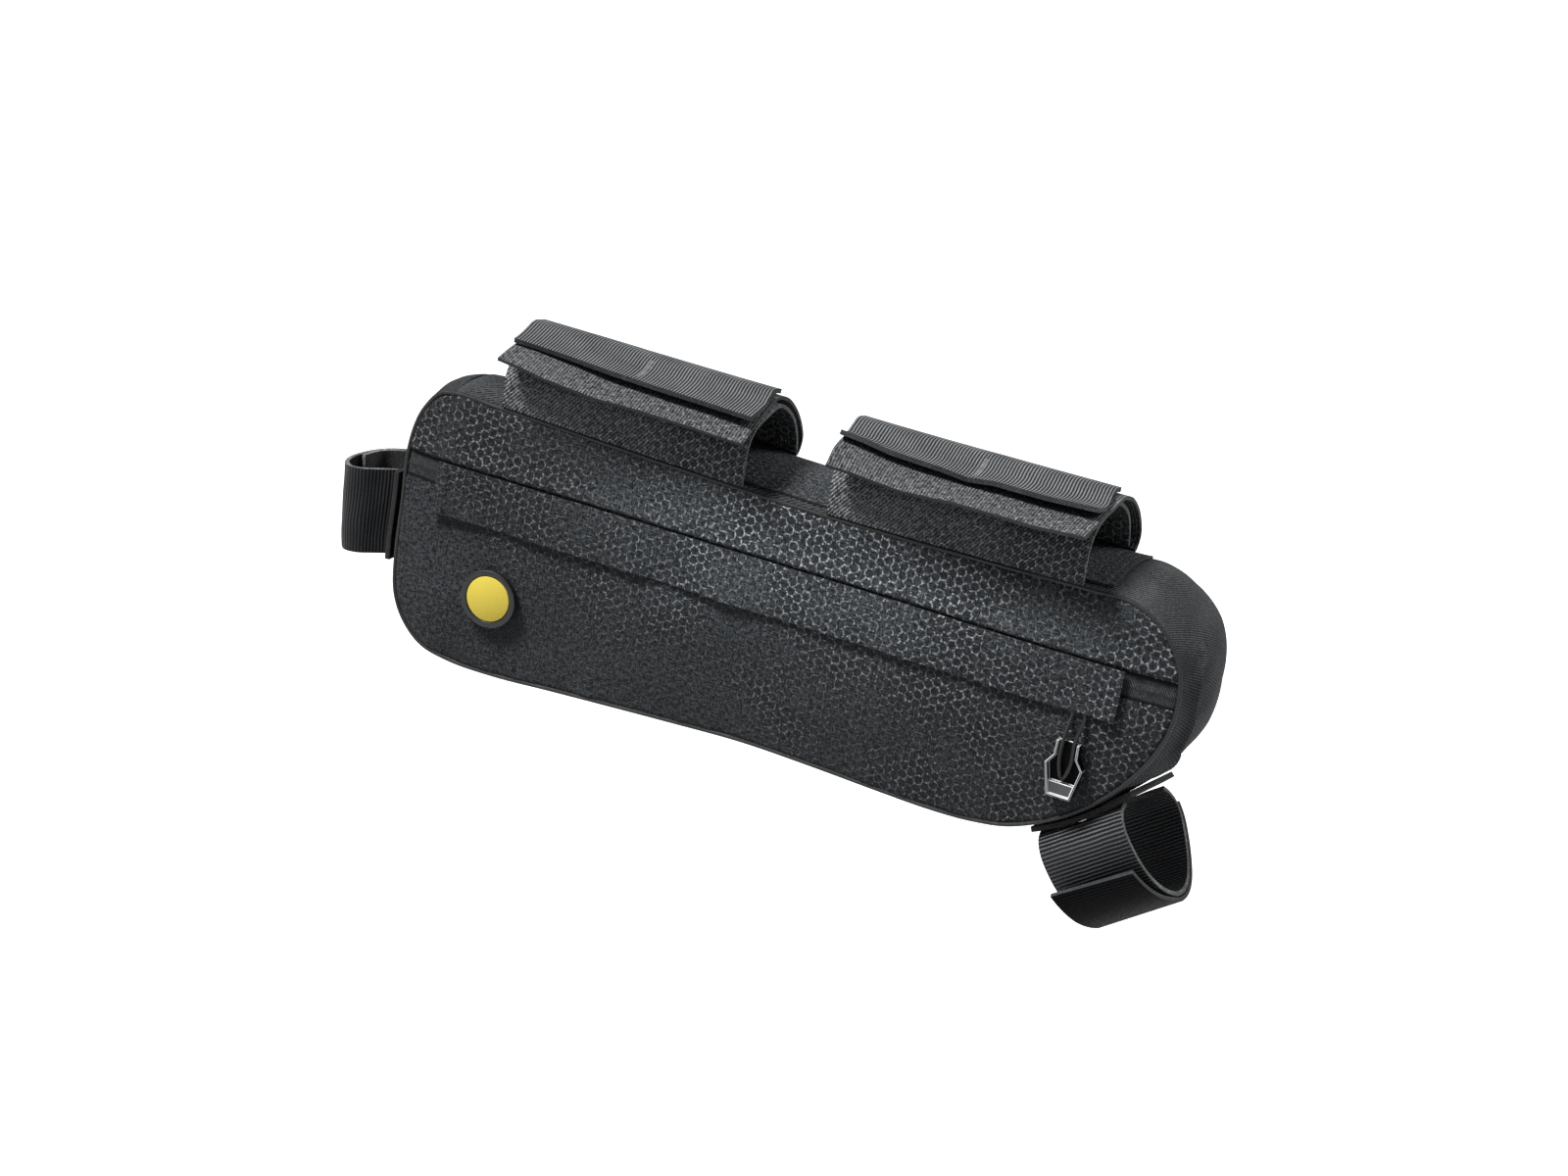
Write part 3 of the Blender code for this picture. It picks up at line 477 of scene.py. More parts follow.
class Path:
    """A flat path of many points that can be read at any share of its steps."""

    def __init__(self, points: Array, closed: bool = False) -> None:
        """Keep the points.

        Args:
            points: Rows of two numbers.
            closed: Whether the last point leads back to the first.
        """
        self.points = np.asarray(points, float)
        self.closed = closed

    @classmethod
    def through(cls, chosen: Sequence[Sequence[float]], steps: int, closed: bool = False,
                turn_weight: float = 0.0, fine: int = 24) -> "Path":
        """A smooth path through a few chosen points, spread evenly.

        Args:
            chosen: The points that the path passes through.
            steps: How many steps it gets.
            closed: Whether it comes back to its start.
            turn_weight: How much a turn counts as length, so that bends get more points.
            fine: The samples between two chosen points.

        Returns:
            The path.
        """
        rows = [np.asarray(row, float) for row in chosen]
        if closed:
            ring = [rows[-1], *rows, rows[0], rows[1]]
            spans = len(rows)
        else:
            ring = [rows[0] * 2 - rows[1], *rows, rows[-1] * 2 - rows[-2]]
            spans = len(rows) - 1
        walk = []
        for span in range(spans):
            walk.extend(cls._between(*ring[span:span + 4], np.arange(fine) / fine))
        walk.append(rows[0] if closed else rows[-1])
        walk = np.array(walk)
        moves = np.diff(walk, axis=0)
        lengths = np.linalg.norm(moves, axis=1)
        heading = np.unwrap(np.arctan2(moves[:, 1], moves[:, 0]))
        turns = np.abs(np.diff(heading, prepend=heading[0]))
        travelled = np.concatenate([[0.0], np.cumsum(lengths + turn_weight * turns)])
        goals = travelled[-1] * np.arange(steps if closed else steps + 1) / steps
        return cls(np.stack([np.interp(goals, travelled, walk[:, axis]) for axis in (0, 1)], 1), closed)

    @staticmethod
    def _between(before: Array, start: Array, end: Array, after: Array, shares: Array) -> list[Array]:
        """Points of the centripetal curve between start and end."""
        knots = [0.0]
        for first, second in ((before, start), (start, end), (end, after)):
            knots.append(knots[-1] + max(np.linalg.norm(second - first), 1e-6) ** 0.5)
        found = []
        for share in shares:
            at = mix(knots[1], knots[2], share)
            lower = mix(before, start, (at - knots[0]) / (knots[1] - knots[0]))
            middle = mix(start, end, (at - knots[1]) / (knots[2] - knots[1]))
            upper = mix(end, after, (at - knots[2]) / (knots[3] - knots[2]))
            left = mix(lower, middle, (at - knots[0]) / (knots[2] - knots[0]))
            right = mix(middle, upper, (at - knots[1]) / (knots[3] - knots[1]))
            found.append(mix(left, right, (at - knots[1]) / (knots[2] - knots[1])))
        return found

    def normals(self) -> Array:
        """Unit normals to the left of the path's direction."""
        if self.closed:
            along = np.roll(self.points, -1, 0) - np.roll(self.points, 1, 0)
        else:
            along = np.gradient(self.points, axis=0)
        along = along / np.maximum(np.linalg.norm(along, axis=1, keepdims=True), 1e-12)
        return np.stack([-along[:, 1], along[:, 0]], 1)

    def moved(self, distance: Union[float, Array]) -> "Path":
        """The path moved to its left by one distance, or by one for each point."""
        away = np.broadcast_to(np.asarray(distance, float), len(self.points))[:, None]
        return Path(self.points + self.normals() * away, self.closed)

    def at(self, share: Array) -> tuple[Array, Array]:
        """The two coordinates at shares of the path's steps."""
        return self._read(self.points, share)

    def normal_at(self, share: Array) -> tuple[Array, Array]:
        """The left normal at shares of the path's steps."""
        return self._read(self.normals(), share)

    def _read(self, rows: Array, share: Array) -> tuple[Array, Array]:
        """Rows read between their steps."""
        if self.closed:
            rows = np.vstack([rows, rows[:1]])
        steps = np.arange(len(rows)) / (len(rows) - 1)
        return tuple(np.interp(share, steps, rows[:, axis]) for axis in (0, 1))

    def length(self) -> float:
        """The path's length."""
        rows = np.vstack([self.points, self.points[:1]]) if self.closed else self.points
        return float(np.linalg.norm(np.diff(rows, axis=0), axis=1).sum())


@dataclass
class Folds:
    """Soft uneven waves, the same in every run."""

    seed: int
    longest: float
    shortest: float
    count: int = 9

    def __post_init__(self) -> None:
        """Choose the waves."""
        chance = np.random.default_rng(self.seed)
        lengths = np.geomspace(self.longest, self.shortest, self.count)
        turn = chance.uniform(0.0, 2.0 * math.pi, self.count)
        self.pull = np.stack([np.cos(turn), np.sin(turn)], 1) * (2.0 * math.pi / lengths)[:, None]
        self.start = chance.uniform(0.0, 2.0 * math.pi, self.count)
        self.weight = lengths / lengths.sum()

    def at(self, first: Array, second: Array) -> Array:
        """The waves' height at places, about -1 to 1."""
        total = np.zeros(np.broadcast(first, second).shape)
        for (pull_first, pull_second), start, weight in zip(self.pull, self.start, self.weight):
            total = total + weight * np.sin(first * pull_first + second * pull_second + start)
        return total * 1.8


# Blender's tools


def read(mesh: bpy.types.Mesh, what: str) -> Array:
    """Every vertex's place or normal, in rows of three."""
    flat = np.zeros(len(mesh.vertices) * 3)
    mesh.vertices.foreach_get(what, flat)
    return flat.reshape(-1, 3)


def linked(name: str, data: Optional[bpy.types.ID]) -> bpy.types.Object:
    """A new object in the scene."""
    item = bpy.data.objects.new(name, data)
    bpy.context.scene.collection.objects.link(item)
    return item


class Workbench:
    """The steps that turn a primitive into a finished piece."""

    def __init__(self) -> None:
        """Start with no pieces."""
        self.pieces: list[bpy.types.Object] = []

    @staticmethod
    def only(item: bpy.types.Object) -> None:
        """Select one object alone and make it active."""
        bpy.ops.object.select_all(action="DESELECT")
        item.select_set(True)
        bpy.context.view_layer.objects.active = item

    def modify(self, item: bpy.types.Object, kind: str, **settings: object) -> None:
        """Add a modifier and apply it.

        Args:
            item: The piece.
            kind: The modifier's type.
            settings: Its settings.
        """
        made = item.modifiers.new(kind.lower(), kind)
        for name, value in settings.items():
            setattr(made, name, value)
        self.only(item)
        bpy.ops.object.modifier_apply(modifier=made.name)

    def edit(self, item: bpy.types.Object, steps: Callable[[], None]) -> None:
        """Run edit mode operators on all of a piece."""
        self.only(item)
        bpy.ops.object.mode_set(mode="EDIT")
        bpy.ops.mesh.select_all(action="SELECT")
        steps()
        bpy.ops.object.mode_set(mode="OBJECT")

    def sheet(self, name: str, place: Place, columns: int, rows: int, lay: Optional[Place] = None,
              around: Around = Around.OPEN, outside: Optional[Place] = None) -> bpy.types.Object:
        """A grid laid on a surface, with its own map in metres.

        Args:
            name: The piece's name.
            place: Gives points for shares of the columns and rows.
            columns: How many faces it has one way.
            rows: How many faces it has the other way.
            lay: Gives the map's two lengths for the same shares. Without it they are measured.
            around: Whether the first and last columns are one.
            outside: Gives directions that the faces should look along.

        Returns:
            The open sheet, with its faces outwards.
        """
        bpy.ops.object.select_all(action="DESELECT")
        bpy.ops.mesh.primitive_grid_add(x_subdivisions=columns, y_subdivisions=rows, size=1.0)
        item = bpy.context.object
        item.name = name
        item.data.name = name
        mesh = item.data
        flat = read(mesh, "co")
        u = np.round((flat[:, 0] + 0.5) * columns) / columns
        v = np.round((flat[:, 1] + 0.5) * rows) / rows
        points = place(u, v)
        mesh.vertices.foreach_set("co", points.ravel())
        mesh.update()
        while mesh.uv_layers:
            mesh.uv_layers.remove(mesh.uv_layers[0])
        layer = mesh.uv_layers.new(name=CLOTH_MAP)
        corners = np.zeros(len(mesh.loops), int)
        mesh.loops.foreach_get("vertex_index", corners)
        both = lay(u, v) if lay else self._measured(place, u, v, columns, rows)
        layer.data.foreach_set("uv", both[corners].ravel())
        if outside is not None:
            if (read(mesh, "normal") * outside(u, v)).sum() < 0.0:
                mesh.flip_normals()
        if around is Around.CLOSED:
            self.edit(item, lambda: bpy.ops.mesh.remove_doubles(threshold=1e-6))
        return item

    @staticmethod
    def _measured(place: Place, u: Array, v: Array, columns: int, rows: int) -> Array:
        """Lengths along the sheet's two middle lines, as its map."""
        lengths = []
        for share, count, turned in ((u, columns, False), (v, rows, True)):
            even = np.arange(count + 1) / count
            middle = np.full(count + 1, 0.5)
            line = place(middle, even) if turned else place(even, middle)
            lengths.append(np.interp(share, even, travelled(line)))
        return np.stack(lengths, 1)

    def thicken(self, item: bpy.types.Object, thickness: float, wall: Wall, rounded: float = 0.0,
                even: bool = True) -> None:
        """Give a sheet its thickness, its cut edges in their own material.

        Args:
            item: The sheet.
            thickness: The cloth's thickness.
            wall: On which side of the sheet it lies.
            rounded: How far the edges are rounded.
            even: Whether folds keep the full thickness. Thin wedges of faces need it off.
        """
        rim = 1 if len(item.data.materials) > 1 else 0
        self.modify(item, "SOLIDIFY", thickness=thickness, offset=wall.value, use_even_offset=even,
                    material_offset_rim=rim)
        if rounded:
            self.modify(item, "BEVEL", width=rounded, segments=2, limit_method="ANGLE",
                        angle_limit=math.radians(50.0))

    def done(self, item: bpy.types.Object, slot: str, nodes: Sequence[str],
             angle: float = 35.0) -> bpy.types.Object:
        """Shade a piece, let it ride and let it stand for its nodes.

        Args:
            item: The piece.
            slot: Not used.
            nodes: The nodes that it stands for.
            angle: The angle over which an edge stays sharp, in degrees.

        Returns:
            The piece.
        """
        if item.type == "MESH":
            self.only(item)
            bpy.ops.object.shade_smooth_by_angle(angle=math.radians(angle))
        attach(item, "root")
        if nodes:
            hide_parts(*nodes)
        self.pieces.append(item)
        LOG.info("made %s", item.name)
        return item

    def tube(self, name: str, points: Array, radius: float, closed: bool, sides: int = 4) -> bpy.types.Object:
        """A round cord or piping along a route, as a curve.

        Args:
            name: The piece's name.
            points: Rows of three numbers.
            radius: Half its thickness.
            closed: Whether it comes back to its start.
            sides: The curve's bevel resolution.

        Returns:
            The curve object.
        """
        curve = bpy.data.curves.new(name, "CURVE")
        curve.dimensions = "3D"
        curve.bevel_depth = radius
        curve.bevel_resolution = sides
        curve.use_fill_caps = not closed
        spline = curve.splines.new("POLY")
        spline.points.add(len(points) - 1)
        spline.points.foreach_set("co", np.hstack([points, np.ones((len(points), 1))]).ravel())
        spline.use_cyclic_u = closed
        item = linked(name, curve)
        return item

    def stitches(self, name: str, route: Array, out: Array, length: float = 0.0021, gap: float = 0.0009,
                 radius: float = 0.00022) -> bpy.types.Object:
        """A row of stitches along a route, each one a copy of one small rounded thread.

        Args:
            name: The piece's name.
            route: Rows of three numbers, close together.
            out: For each of them the direction away from the cloth.
            length: One stitch's length.
            gap: The length between two stitches.
            radius: Half the thread's thickness.

        Returns:
            The row as one mesh.
        """
        bpy.ops.object.select_all(action="DESELECT")
        bpy.ops.mesh.primitive_uv_sphere_add(segments=6, ring_count=5, radius=1.0)
        item = bpy.context.object
        item.name = name
        item.data.name = name
        mesh = item.data
        one = read(mesh, "co")
        loops = [list(face.vertices) for face in mesh.polygons]
        far = travelled(route)
        starts = np.arange(gap, far[-1] - length, length + gap)
        ends = [np.stack([np.interp(spot, far, route[:, axis]) for axis in range(3)], 1)
                for spot in (starts, starts + length)]
        away = np.stack([np.interp(starts + length / 2, far, out[:, axis]) for axis in range(3)], 1)
        away = unit(away)
        along = unit(ends[1] - ends[0])
        side = unit(np.cross(along, away))
        middle = (ends[0] + ends[1]) / 2
        points = middle[:, None, :]
        for axis, way, size in ((2, along, length / 2), (0, side, radius), (1, away, radius)):
            points = points + one[None, :, axis:axis + 1] * way[:, None, :] * size
        faces = [[corner + index * len(one) for corner in loop]
                 for index in range(len(starts)) for loop in loops]
        made = bpy.data.meshes.new(name)
        made.from_pydata(points.reshape(-1, 3).tolist(), [], faces)
        made.update()
        item.data = made
        bpy.data.meshes.remove(mesh)
        self.edit(item, lambda: bpy.ops.mesh.normals_make_consistent(inside=False))
        return item


# The bag's form

# The outline seen from the front: share of the length from the rear, share of the height down from the top
# seam. It runs from the upper rear corner down, forwards, up and back along the top. Where the cloth bulges
# past the length or the height, a share lies a little under 0 or over 1.
OUTLINE_ROWS = (
    (0.0480, -0.0245), (0.0275, -0.0085), (0.0134, 0.041), (0.0020, 0.115), (-0.0048, 0.246),
    (-0.0023, 0.440), (0.0000, 0.653), (0.0070, 0.799), (0.0237, 0.894), (0.0531, 0.970),
    (0.0933, 0.999), (0.1577, 1.003), (0.2390, 0.987), (0.3958, 0.959), (0.4884, 0.946),
    (0.5749, 0.951), (0.6712, 0.963), (0.7346, 0.968), (0.7866, 0.961), (0.8366, 0.932),
    (0.9028, 0.825), (0.9579, 0.659), (0.9898, 0.489), (1.0000, 0.335), (0.9942, 0.198),
    (0.9759, 0.097), (0.9464, 0.023), (0.9116, -0.011), (0.8681, -0.007), (0.5143, 0.014),
    (0.1142, -0.0195),
)
# Where the back seam leaves the outline: share of the seam's length, how far out
BACK_SEAM_ROWS = (
    (0.000, -0.0050), (0.010, -0.0060), (0.030, -0.0066), (0.045, -0.0050), (0.062, -0.0022), (0.080, 0.0000),
    (0.540, 0.0010), (0.560, 0.0032), (0.577, 0.0046), (0.590, 0.0040), (0.604, 0.0026), (0.622, 0.0008),
    (0.670, 0.0004), (0.710, -0.0012), (0.750, -0.0003), (0.800, 0.0000), (0.875, 0.0006), (0.920, 0.0000),
    (0.955, -0.0018), (0.985, -0.0040), (1.000, -0.0050),
)
# The pleat at the gusset's front end: height, place across
PLEAT_ROWS = (
    (-0.0964, 0.0177), (-0.0887, 0.0120), (-0.0721, -0.0106), (-0.0633, -0.0111), (-0.0494, -0.0162),
    (-0.0418, -0.0158), (-0.0359, -0.0073),
)


@dataclass
class BagForm:
    """The bag's outline and the surfaces that follow it."""

    length: float = 0.345
    height: float = 0.1135
    width: float = 0.060
    top_seam: float = -0.015
    panel_crown: float = 0.003
    panel_reach: float = 0.042
    gusset_crown: float = 0.0035
    narrowing: float = 0.010
    narrowing_run: float = 0.055
    bead: float = 0.0012
    piping: float = 0.0009
    clearance: float = 0.0003
    steps: int = 384

    def __post_init__(self) -> None:
        """Work the outline and its offsets out."""
        self.rear = -self.length / 2
        rows = [(self.rear + along * self.length, self.top_seam - down * self.height)
                for along, down in OUTLINE_ROWS]
        self.outline = Path.through(rows, self.steps, True, 0.060)
        self.seam = self.outline.moved(self.bead)
        self.panel_edge = self.seam.moved(self.piping * 0.6)
        self.bead_plane = self.width / 2 - self.bead * 0.4
        self.gusset_edge = self.bead_plane - self.piping * 0.6
        points = self.seam.points
        middle = self.top_seam - self.height / 2
        upper = points[points[:, 1] > middle]
        self._upper = upper[np.argsort(upper[:, 0])]
        rear = points[points[:, 0] < self.rear + 0.06]
        rear = rear[(rear[:, 1] < self.top_seam - 0.02) & (rear[:, 1] > self.top_seam - 0.095)]
        self._rear = rear[np.argsort(rear[:, 1])]

    def back_plane(self, x: Array) -> Array:
        """How far the back seam lies from the middle."""
        share = ease((self.rear + self.narrowing_run - x) / self.narrowing_run)
        return self.width / 2 - self.narrowing * share

    def back_edge(self, x: Array) -> Array:
        """The place across of the gusset's back edge."""
        return self.back_plane(x) - self.width / 2 + self.gusset_edge

    def back_push(self, share: Array) -> Array:
        """How far the back seam stands out of the outline at shares of its length."""
        at, out = np.array(BACK_SEAM_ROWS).T
        return np.interp(share, at, out)

    def inside(self, x: Array, z: Array) -> Array:
        """How far a place on a side panel is from the outline."""
        rows = self.outline.points
        best = np.full(np.shape(x), 1.0)
        for start in range(0, len(rows), 64):
            some = rows[start:start + 64]
            gap = np.hypot(x[..., None] - some[:, 0], z[..., None] - some[:, 1]).min(-1)
            best = np.minimum(best, gap)
        return best

    def crown(self, x: Array, z: Array) -> Array:
        """How far a side panel swells out."""
        share = np.minimum(self.inside(x, z) / self.panel_reach, 1.0)
        return self.panel_crown * (1.0 - (1.0 - share) ** 2)

    def top(self, x: Array) -> Array:
        """The height of the upper seam line at a place along the bag."""
        return np.interp(x, self._upper[:, 0], self._upper[:, 1])

    def rear_line(self, z: Array) -> Array:
        """The rear seam line's place along the bag at a height."""
        return np.interp(z, self._rear[:, 1], self._rear[:, 0])

    def swell(self, y: Array, x: Array) -> Array:
        """How far the gusset stands out of the seam line."""
        back = self.back_edge(x)
        across = np.clip((y + self.gusset_edge) / (back + self.gusset_edge), 0.0, 1.0)
        return 0.0008 + self.gusset_crown * (1.0 - (2.0 * across - 1.0) ** 2)


@dataclass
class Finishes:
    """Every material of the bag, made once."""

    # The front and back panels and the flap share this cloth, with its faded pattern and its painted sheen.
    panel = Honeycomb("panel_ripstop", fade_and_sheen=True)
    cuff = Honeycomb("cuff_ripstop", (0.048, 0.050, 0.052), (0.072, 0.075, 0.078), (0.22, 0.225, 0.23),
                     rib=1.5, rib_pitch=0.0013, strength=0.35)
    lining = Honeycomb("cuff_lining_ripstop", (0.042, 0.044, 0.046), (0.150, 0.154, 0.160),
                       (0.40, 0.41, 0.42), rib=1.5, rib_pitch=0.0016, rib_lean=-0.8, strength=0.55)
    top = Honeycomb("top_ripstop", ground=(0.040, 0.043, 0.046), rib=0.4, rib_lean=0.7, strength=0.6)
    # The zip tape: its two edges are darkened with painted shade.
    tape = Canvas("zip_tape_mesh", (0.012, 0.013, 0.014), (0.085, 0.090, 0.096), 0.0011, 1.0, 0.0107)
    gusset = Canvas("gusset_twill", (0.005, 0.0055, 0.006), (0.100, 0.106, 0.112), 0.0018, 0.85)
    plate = Canvas("strap_plate_canvas", (0.0016, 0.0017, 0.002), (0.012, 0.013, 0.015), 0.0010)
    webbing = Ribbed("strap_webbing", (0.0006, 0.0006, 0.0008), (0.085, 0.090, 0.098), 0.0016, solid=0.90)
    narrow = Ribbed("rear_webbing", (0.0010, 0.0010, 0.0012), (0.024, 0.026, 0.029), 0.00145, gloss=0.12)
    tab = Ribbed("tab_webbing", (0.0003, 0.0003, 0.0004), (0.0022, 0.0026, 0.0036), 0.0017, 0.00020, 0.02)
    strip = Ribbed("strip_webbing", (0.004, 0.0045, 0.005), (0.145, 0.150, 0.155), 0.00135, 0.00036, 0.10,
                   0.70)
    pile = Pile("loop_pile")
    edge = CutEdge("cut_edge")
    dark_edge = CutEdge("folded_edge", (0.012, 0.0125, 0.0135), (0.075, 0.078, 0.082))
    # Nearly black edges: on the strap plates they match the dark canvas; on the flap they are painted shade,
    # dark lines at its ends and lower edge where a shadow would fall.
    black_edge = CutEdge("black_edge", (0.0015, 0.0015, 0.002), (0.030, 0.031, 0.033))
    piping = Thread("seam_piping", (0.0030, 0.0030, 0.0034), 2600.0)
    thread = Thread("stitch_thread", (0.040, 0.042, 0.045), 4000.0)
    bar = Thread("bar_thread", (0.15, 0.152, 0.15), 4000.0)
    cord = Thread("pull_cord_braid", (0.0025, 0.0025, 0.003), 3100.0)
    grip = Moulded("grip_plastic", (0.0010, 0.0010, 0.0012), (0.003, 0.003, 0.0035), 0.55, gloss=0.06)
    # Painted highlight: the grip is black plastic, and its rounded edges take this near-white finish so that
    # they look lit.
    bevel = Moulded("grip_bevel_painted_highlight", (0.60, 0.61, 0.62), (0.78, 0.79, 0.80), 0.20)
    # The grey block at the grip's foot: partly a paler moulded face, partly a painted highlight on that
    # sloped face.
    block = Moulded("grip_block", (0.055, 0.057, 0.060), (0.095, 0.098, 0.10), 0.35)
    rubber = Moulded("badge_moulding", (0.005, 0.005, 0.0055), (0.020, 0.020, 0.021), 0.42)
    yellow = Moulded("badge_paint", (0.80, 0.63, 0.08), (0.70, 0.54, 0.07), 0.55)
    made: dict = field(default_factory=dict)

    def get(self, kind: object) -> bpy.types.Material:
        """The material of a finish, built the first time."""
        if kind.name not in self.made:
            self.made[kind.name] = kind.build()
        return self.made[kind.name]


@dataclass
class SubAssembly:
    """What every part of the bag is made with."""

    form: BagForm
    bench: Workbench
    finishes: Finishes

    def dress(self, item: bpy.types.Object, *kinds: object) -> None:
        """Give a piece its materials, its face first and its edges second."""
        for kind in kinds:
            item.data.materials.append(self.finishes.get(kind))

    def cloth(self, name: str, node: str, slot: str, place: Place, faces: tuple[int, int], outside: Place,
              kinds: tuple, thickness: float, wall: Wall = Wall.CENTRED, lay: Optional[Place] = None,
              around: Around = Around.OPEN, rounded: float = 0.0, even: bool = True,
              angle: float = 35.0) -> bpy.types.Object:
        """A finished cloth or webbing: laid, dressed, thickened and riding.

        Args:
            name: The piece's name.
            node: The node that it stands for.
            slot: Not used.
            place: Gives points for shares of its two directions.
            faces: How many faces it has each way.
            outside: Gives directions that the faces should look along.
            kinds: Its finishes, its face's first and its edges' second.
            thickness: The cloth's thickness.
            wall: On which side of the sheet it lies.
            lay: Gives the map's two lengths. Without it they are measured.
            around: Whether the first and last columns are one.
            rounded: How far the edges are rounded.
            even: Whether folds keep the full thickness.
            angle: The angle over which an edge stays sharp, in degrees.

        Returns:
            The piece.
        """
        item = self.bench.sheet(name, place, *faces, lay, around, outside)
        self.dress(item, *kinds)
        self.bench.thicken(item, thickness, wall, rounded, even)
        return self.bench.done(item, slot, [node], angle)

    def sew(self, name: str, route: Array, out: Array, finish: Finish, slot: str, *sizes: float) -> None:
        """A finished row of stitches, with their length, gap and radius where they differ."""
        row = self.bench.stitches(name, route, out, *sizes)
        self.dress(row, finish)
        self.bench.done(row, slot, [])

    def outward(self, direction: Sequence[float]) -> Place:
        """One direction for all of a sheet."""
        return lambda u, v: np.broadcast_to(np.asarray(direction, float), (len(u), 3))


@dataclass
class Shell(SubAssembly):
    """The bag's own cloth: panels, zip tape, gusset, piping, flap and top patch."""

    panel_thickness: float = 0.0016
    gusset_thickness: float = 0.0020
    tape_thickness: float = 0.0010
    flap_thickness: float = 0.0010
    patch_thickness: float = 0.0010
    zip_drop: float = 0.0270
    tape_height: float = 0.0107
    tape_recess: float = 0.0004
    flap_height: float = 0.0225
    flap_overlap: float = 0.0006
    flap_rear: float = 0.0165
    flap_front: float = 0.0235
    flap_standoff: float = 0.0008
    broad_height: float = 0.0011
    pucker_height: float = 0.0007
    seam_groove: float = 0.0010
    flap_wave: float = 0.0003
    flap_pucker: float = 0.0006
    flap_hem: float = 0.0006
    gusset_fold: float = 0.0006
    pleat_ridge: float = 0.0020
    pleat_groove: float = 0.0018
    hem_height: float = 0.0016
    hem_width: float = 0.0060
    broad: Folds = field(default_factory=lambda: Folds(4, 0.150, 0.040, 7))
    pucker: Folds = field(default_factory=lambda: Folds(11, 0.030, 0.009, 8))

    def build(self) -> None:
        """Make every piece of the shell."""
        self.half_panel("front_cloth_upper", "front_panel_upper", self.seam_level, True)
        self.half_panel("front_cloth_lower", "front_panel_lower", self.foot_level - self.form.clearance,
                        False)
        self.tape()
        self.back_cloth()
        self.gusset()
        self.piping()
        self.flap()
        self.patch()

    @property
    def seam_level(self) -> float:
        """The height of the zip's upper seam."""
        return self.form.top_seam - self.zip_drop

    @property
    def foot_level(self) -> float:
        """The height of the zip tape's lower edge."""
        return self.seam_level - self.form.clearance - self.tape_height

    def wrinkle(self, x: Array, z: Array, side: float) -> Array:
        """How far a panel's cloth lies off its smooth form: broad waves, and puckers at the seams."""
        gap = self.form.inside(x, z)
        broad = self.broad.at(x * 0.8 + side * 0.4, z * 1.1) * self.broad_height * np.minimum(gap / 0.02, 1.0)
        near = np.exp(-gap / 0.007) * np.minimum(gap / 0.003, 1.0)
        turned_in = self.seam_groove * np.exp(-((gap - self.form.bead) / 0.0011) ** 2)
        return broad + self.pucker.at(x + side, z) * self.pucker_height * near - turned_in

    def front(self, x: Array, z: Array) -> Array:
        """The front panel's outer face."""
        return -self.form.width / 2 - self.form.crown(x, z) - self.wrinkle(x, z, -1.0)

    def back(self, x: Array, z: Array) -> Array:
        """The back panel's outer face."""
        return self.form.back_plane(x) + self.form.crown(x, z) + self.wrinkle(x, z, 1.0)

    def hem(self, x: Array, drop: Array) -> Array:
        """How far the cloth stands out at a folded seam, at a distance from the seam's line.

        Args:
            x: The places along the bag.
            drop: How far each place is from the seam.

        Returns:
            The fold's height: a soft swelling that turns in at the seam itself.
        """
        swelling = self.hem_height * np.exp(-(drop / self.hem_width) ** 2)
        turned_in = self.hem_height * 1.1 * np.exp(-(drop / 0.0009) ** 2)
        uneven = 1.0 + 0.25 * self.pucker.at(x * 1.4, drop * 0.0)
        return (swelling - turned_in) * uneven

    def arch(self, level: float, upper: bool) -> Path:
        """The part of the panel's edge over or under a level, from the rear to the front."""
        points = self.form.panel_edge.points
        points = points[np.arange(-len(points), 0)]
        inside = points[:, 1] > level if upper else points[:, 1] < level
        first = int(np.flatnonzero(inside & ~np.roll(inside, 1))[0])
        run = np.roll(points, -first, 0)[:int(inside.sum())]
        before, after = np.roll(points, -first + 1, 0)[0], np.roll(points, -first, 0)[len(run)]
        ends = []
        for inner, outer in ((run[0], before), (run[-1], after)):
            share = (level - inner[1]) / (outer[1] - inner[1])
            ends.append(inner + (outer - inner) * share)
        run = np.vstack([ends[0], run, ends[1]])
        if run[0, 0] > run[-1, 0]:
            run = run[::-1]
        far = travelled(run)
        even = np.linspace(0.0, far[-1], 500)
        return Path(np.stack([np.interp(even, far, run[:, axis]) for axis in (0, 1)], 1))

    def half_panel(self, name: str, node: str, level: float, upper: bool) -> None:
        """The front cloth over or under the zip, laid between the zip's seam and the outline.

        Args:
            name: The piece's name.
            node: The node that it stands for.
            level: The height of its straight edge.
            upper: Whether it lies over the zip.
        """
        arch = self.arch(level, upper)

        def flat(u: Array, v: Array) -> tuple[Array, Array]:
            edge_x, edge_z = arch.at(u)
            share = ease(v) * 0.5 + v * 0.5
            straight = mix(arch.points[0, 0], arch.points[-1, 0], u)
            return mix(straight, edge_x, share), mix(np.full_like(u, level), edge_z, share)

        def place(u: Array, v: Array) -> Array:
            x, z = flat(u, v)
            y = self.front(x, z)
            if upper:
                y = y - self.hem(x, np.abs(z - level)) * np.minimum(self.form.inside(x, z) / 0.006, 1.0)
            return np.stack([x, y, z], 1)

        self.cloth(name, node, "ripstop_cloth", place, (420, 70), self.outward(FRONT), (self.finishes.panel,),
                   self.panel_thickness, Wall.INWARDS, lambda u, v: np.stack(flat(u, v), 1), angle=60.0)

    def tape(self) -> None:
        """The zip's tape, which shows past both ends of the flap."""
        low, high = self.foot_level, self.seam_level - self.form.clearance
        lower, upper = self.arch(low, False), self.arch(high, True)

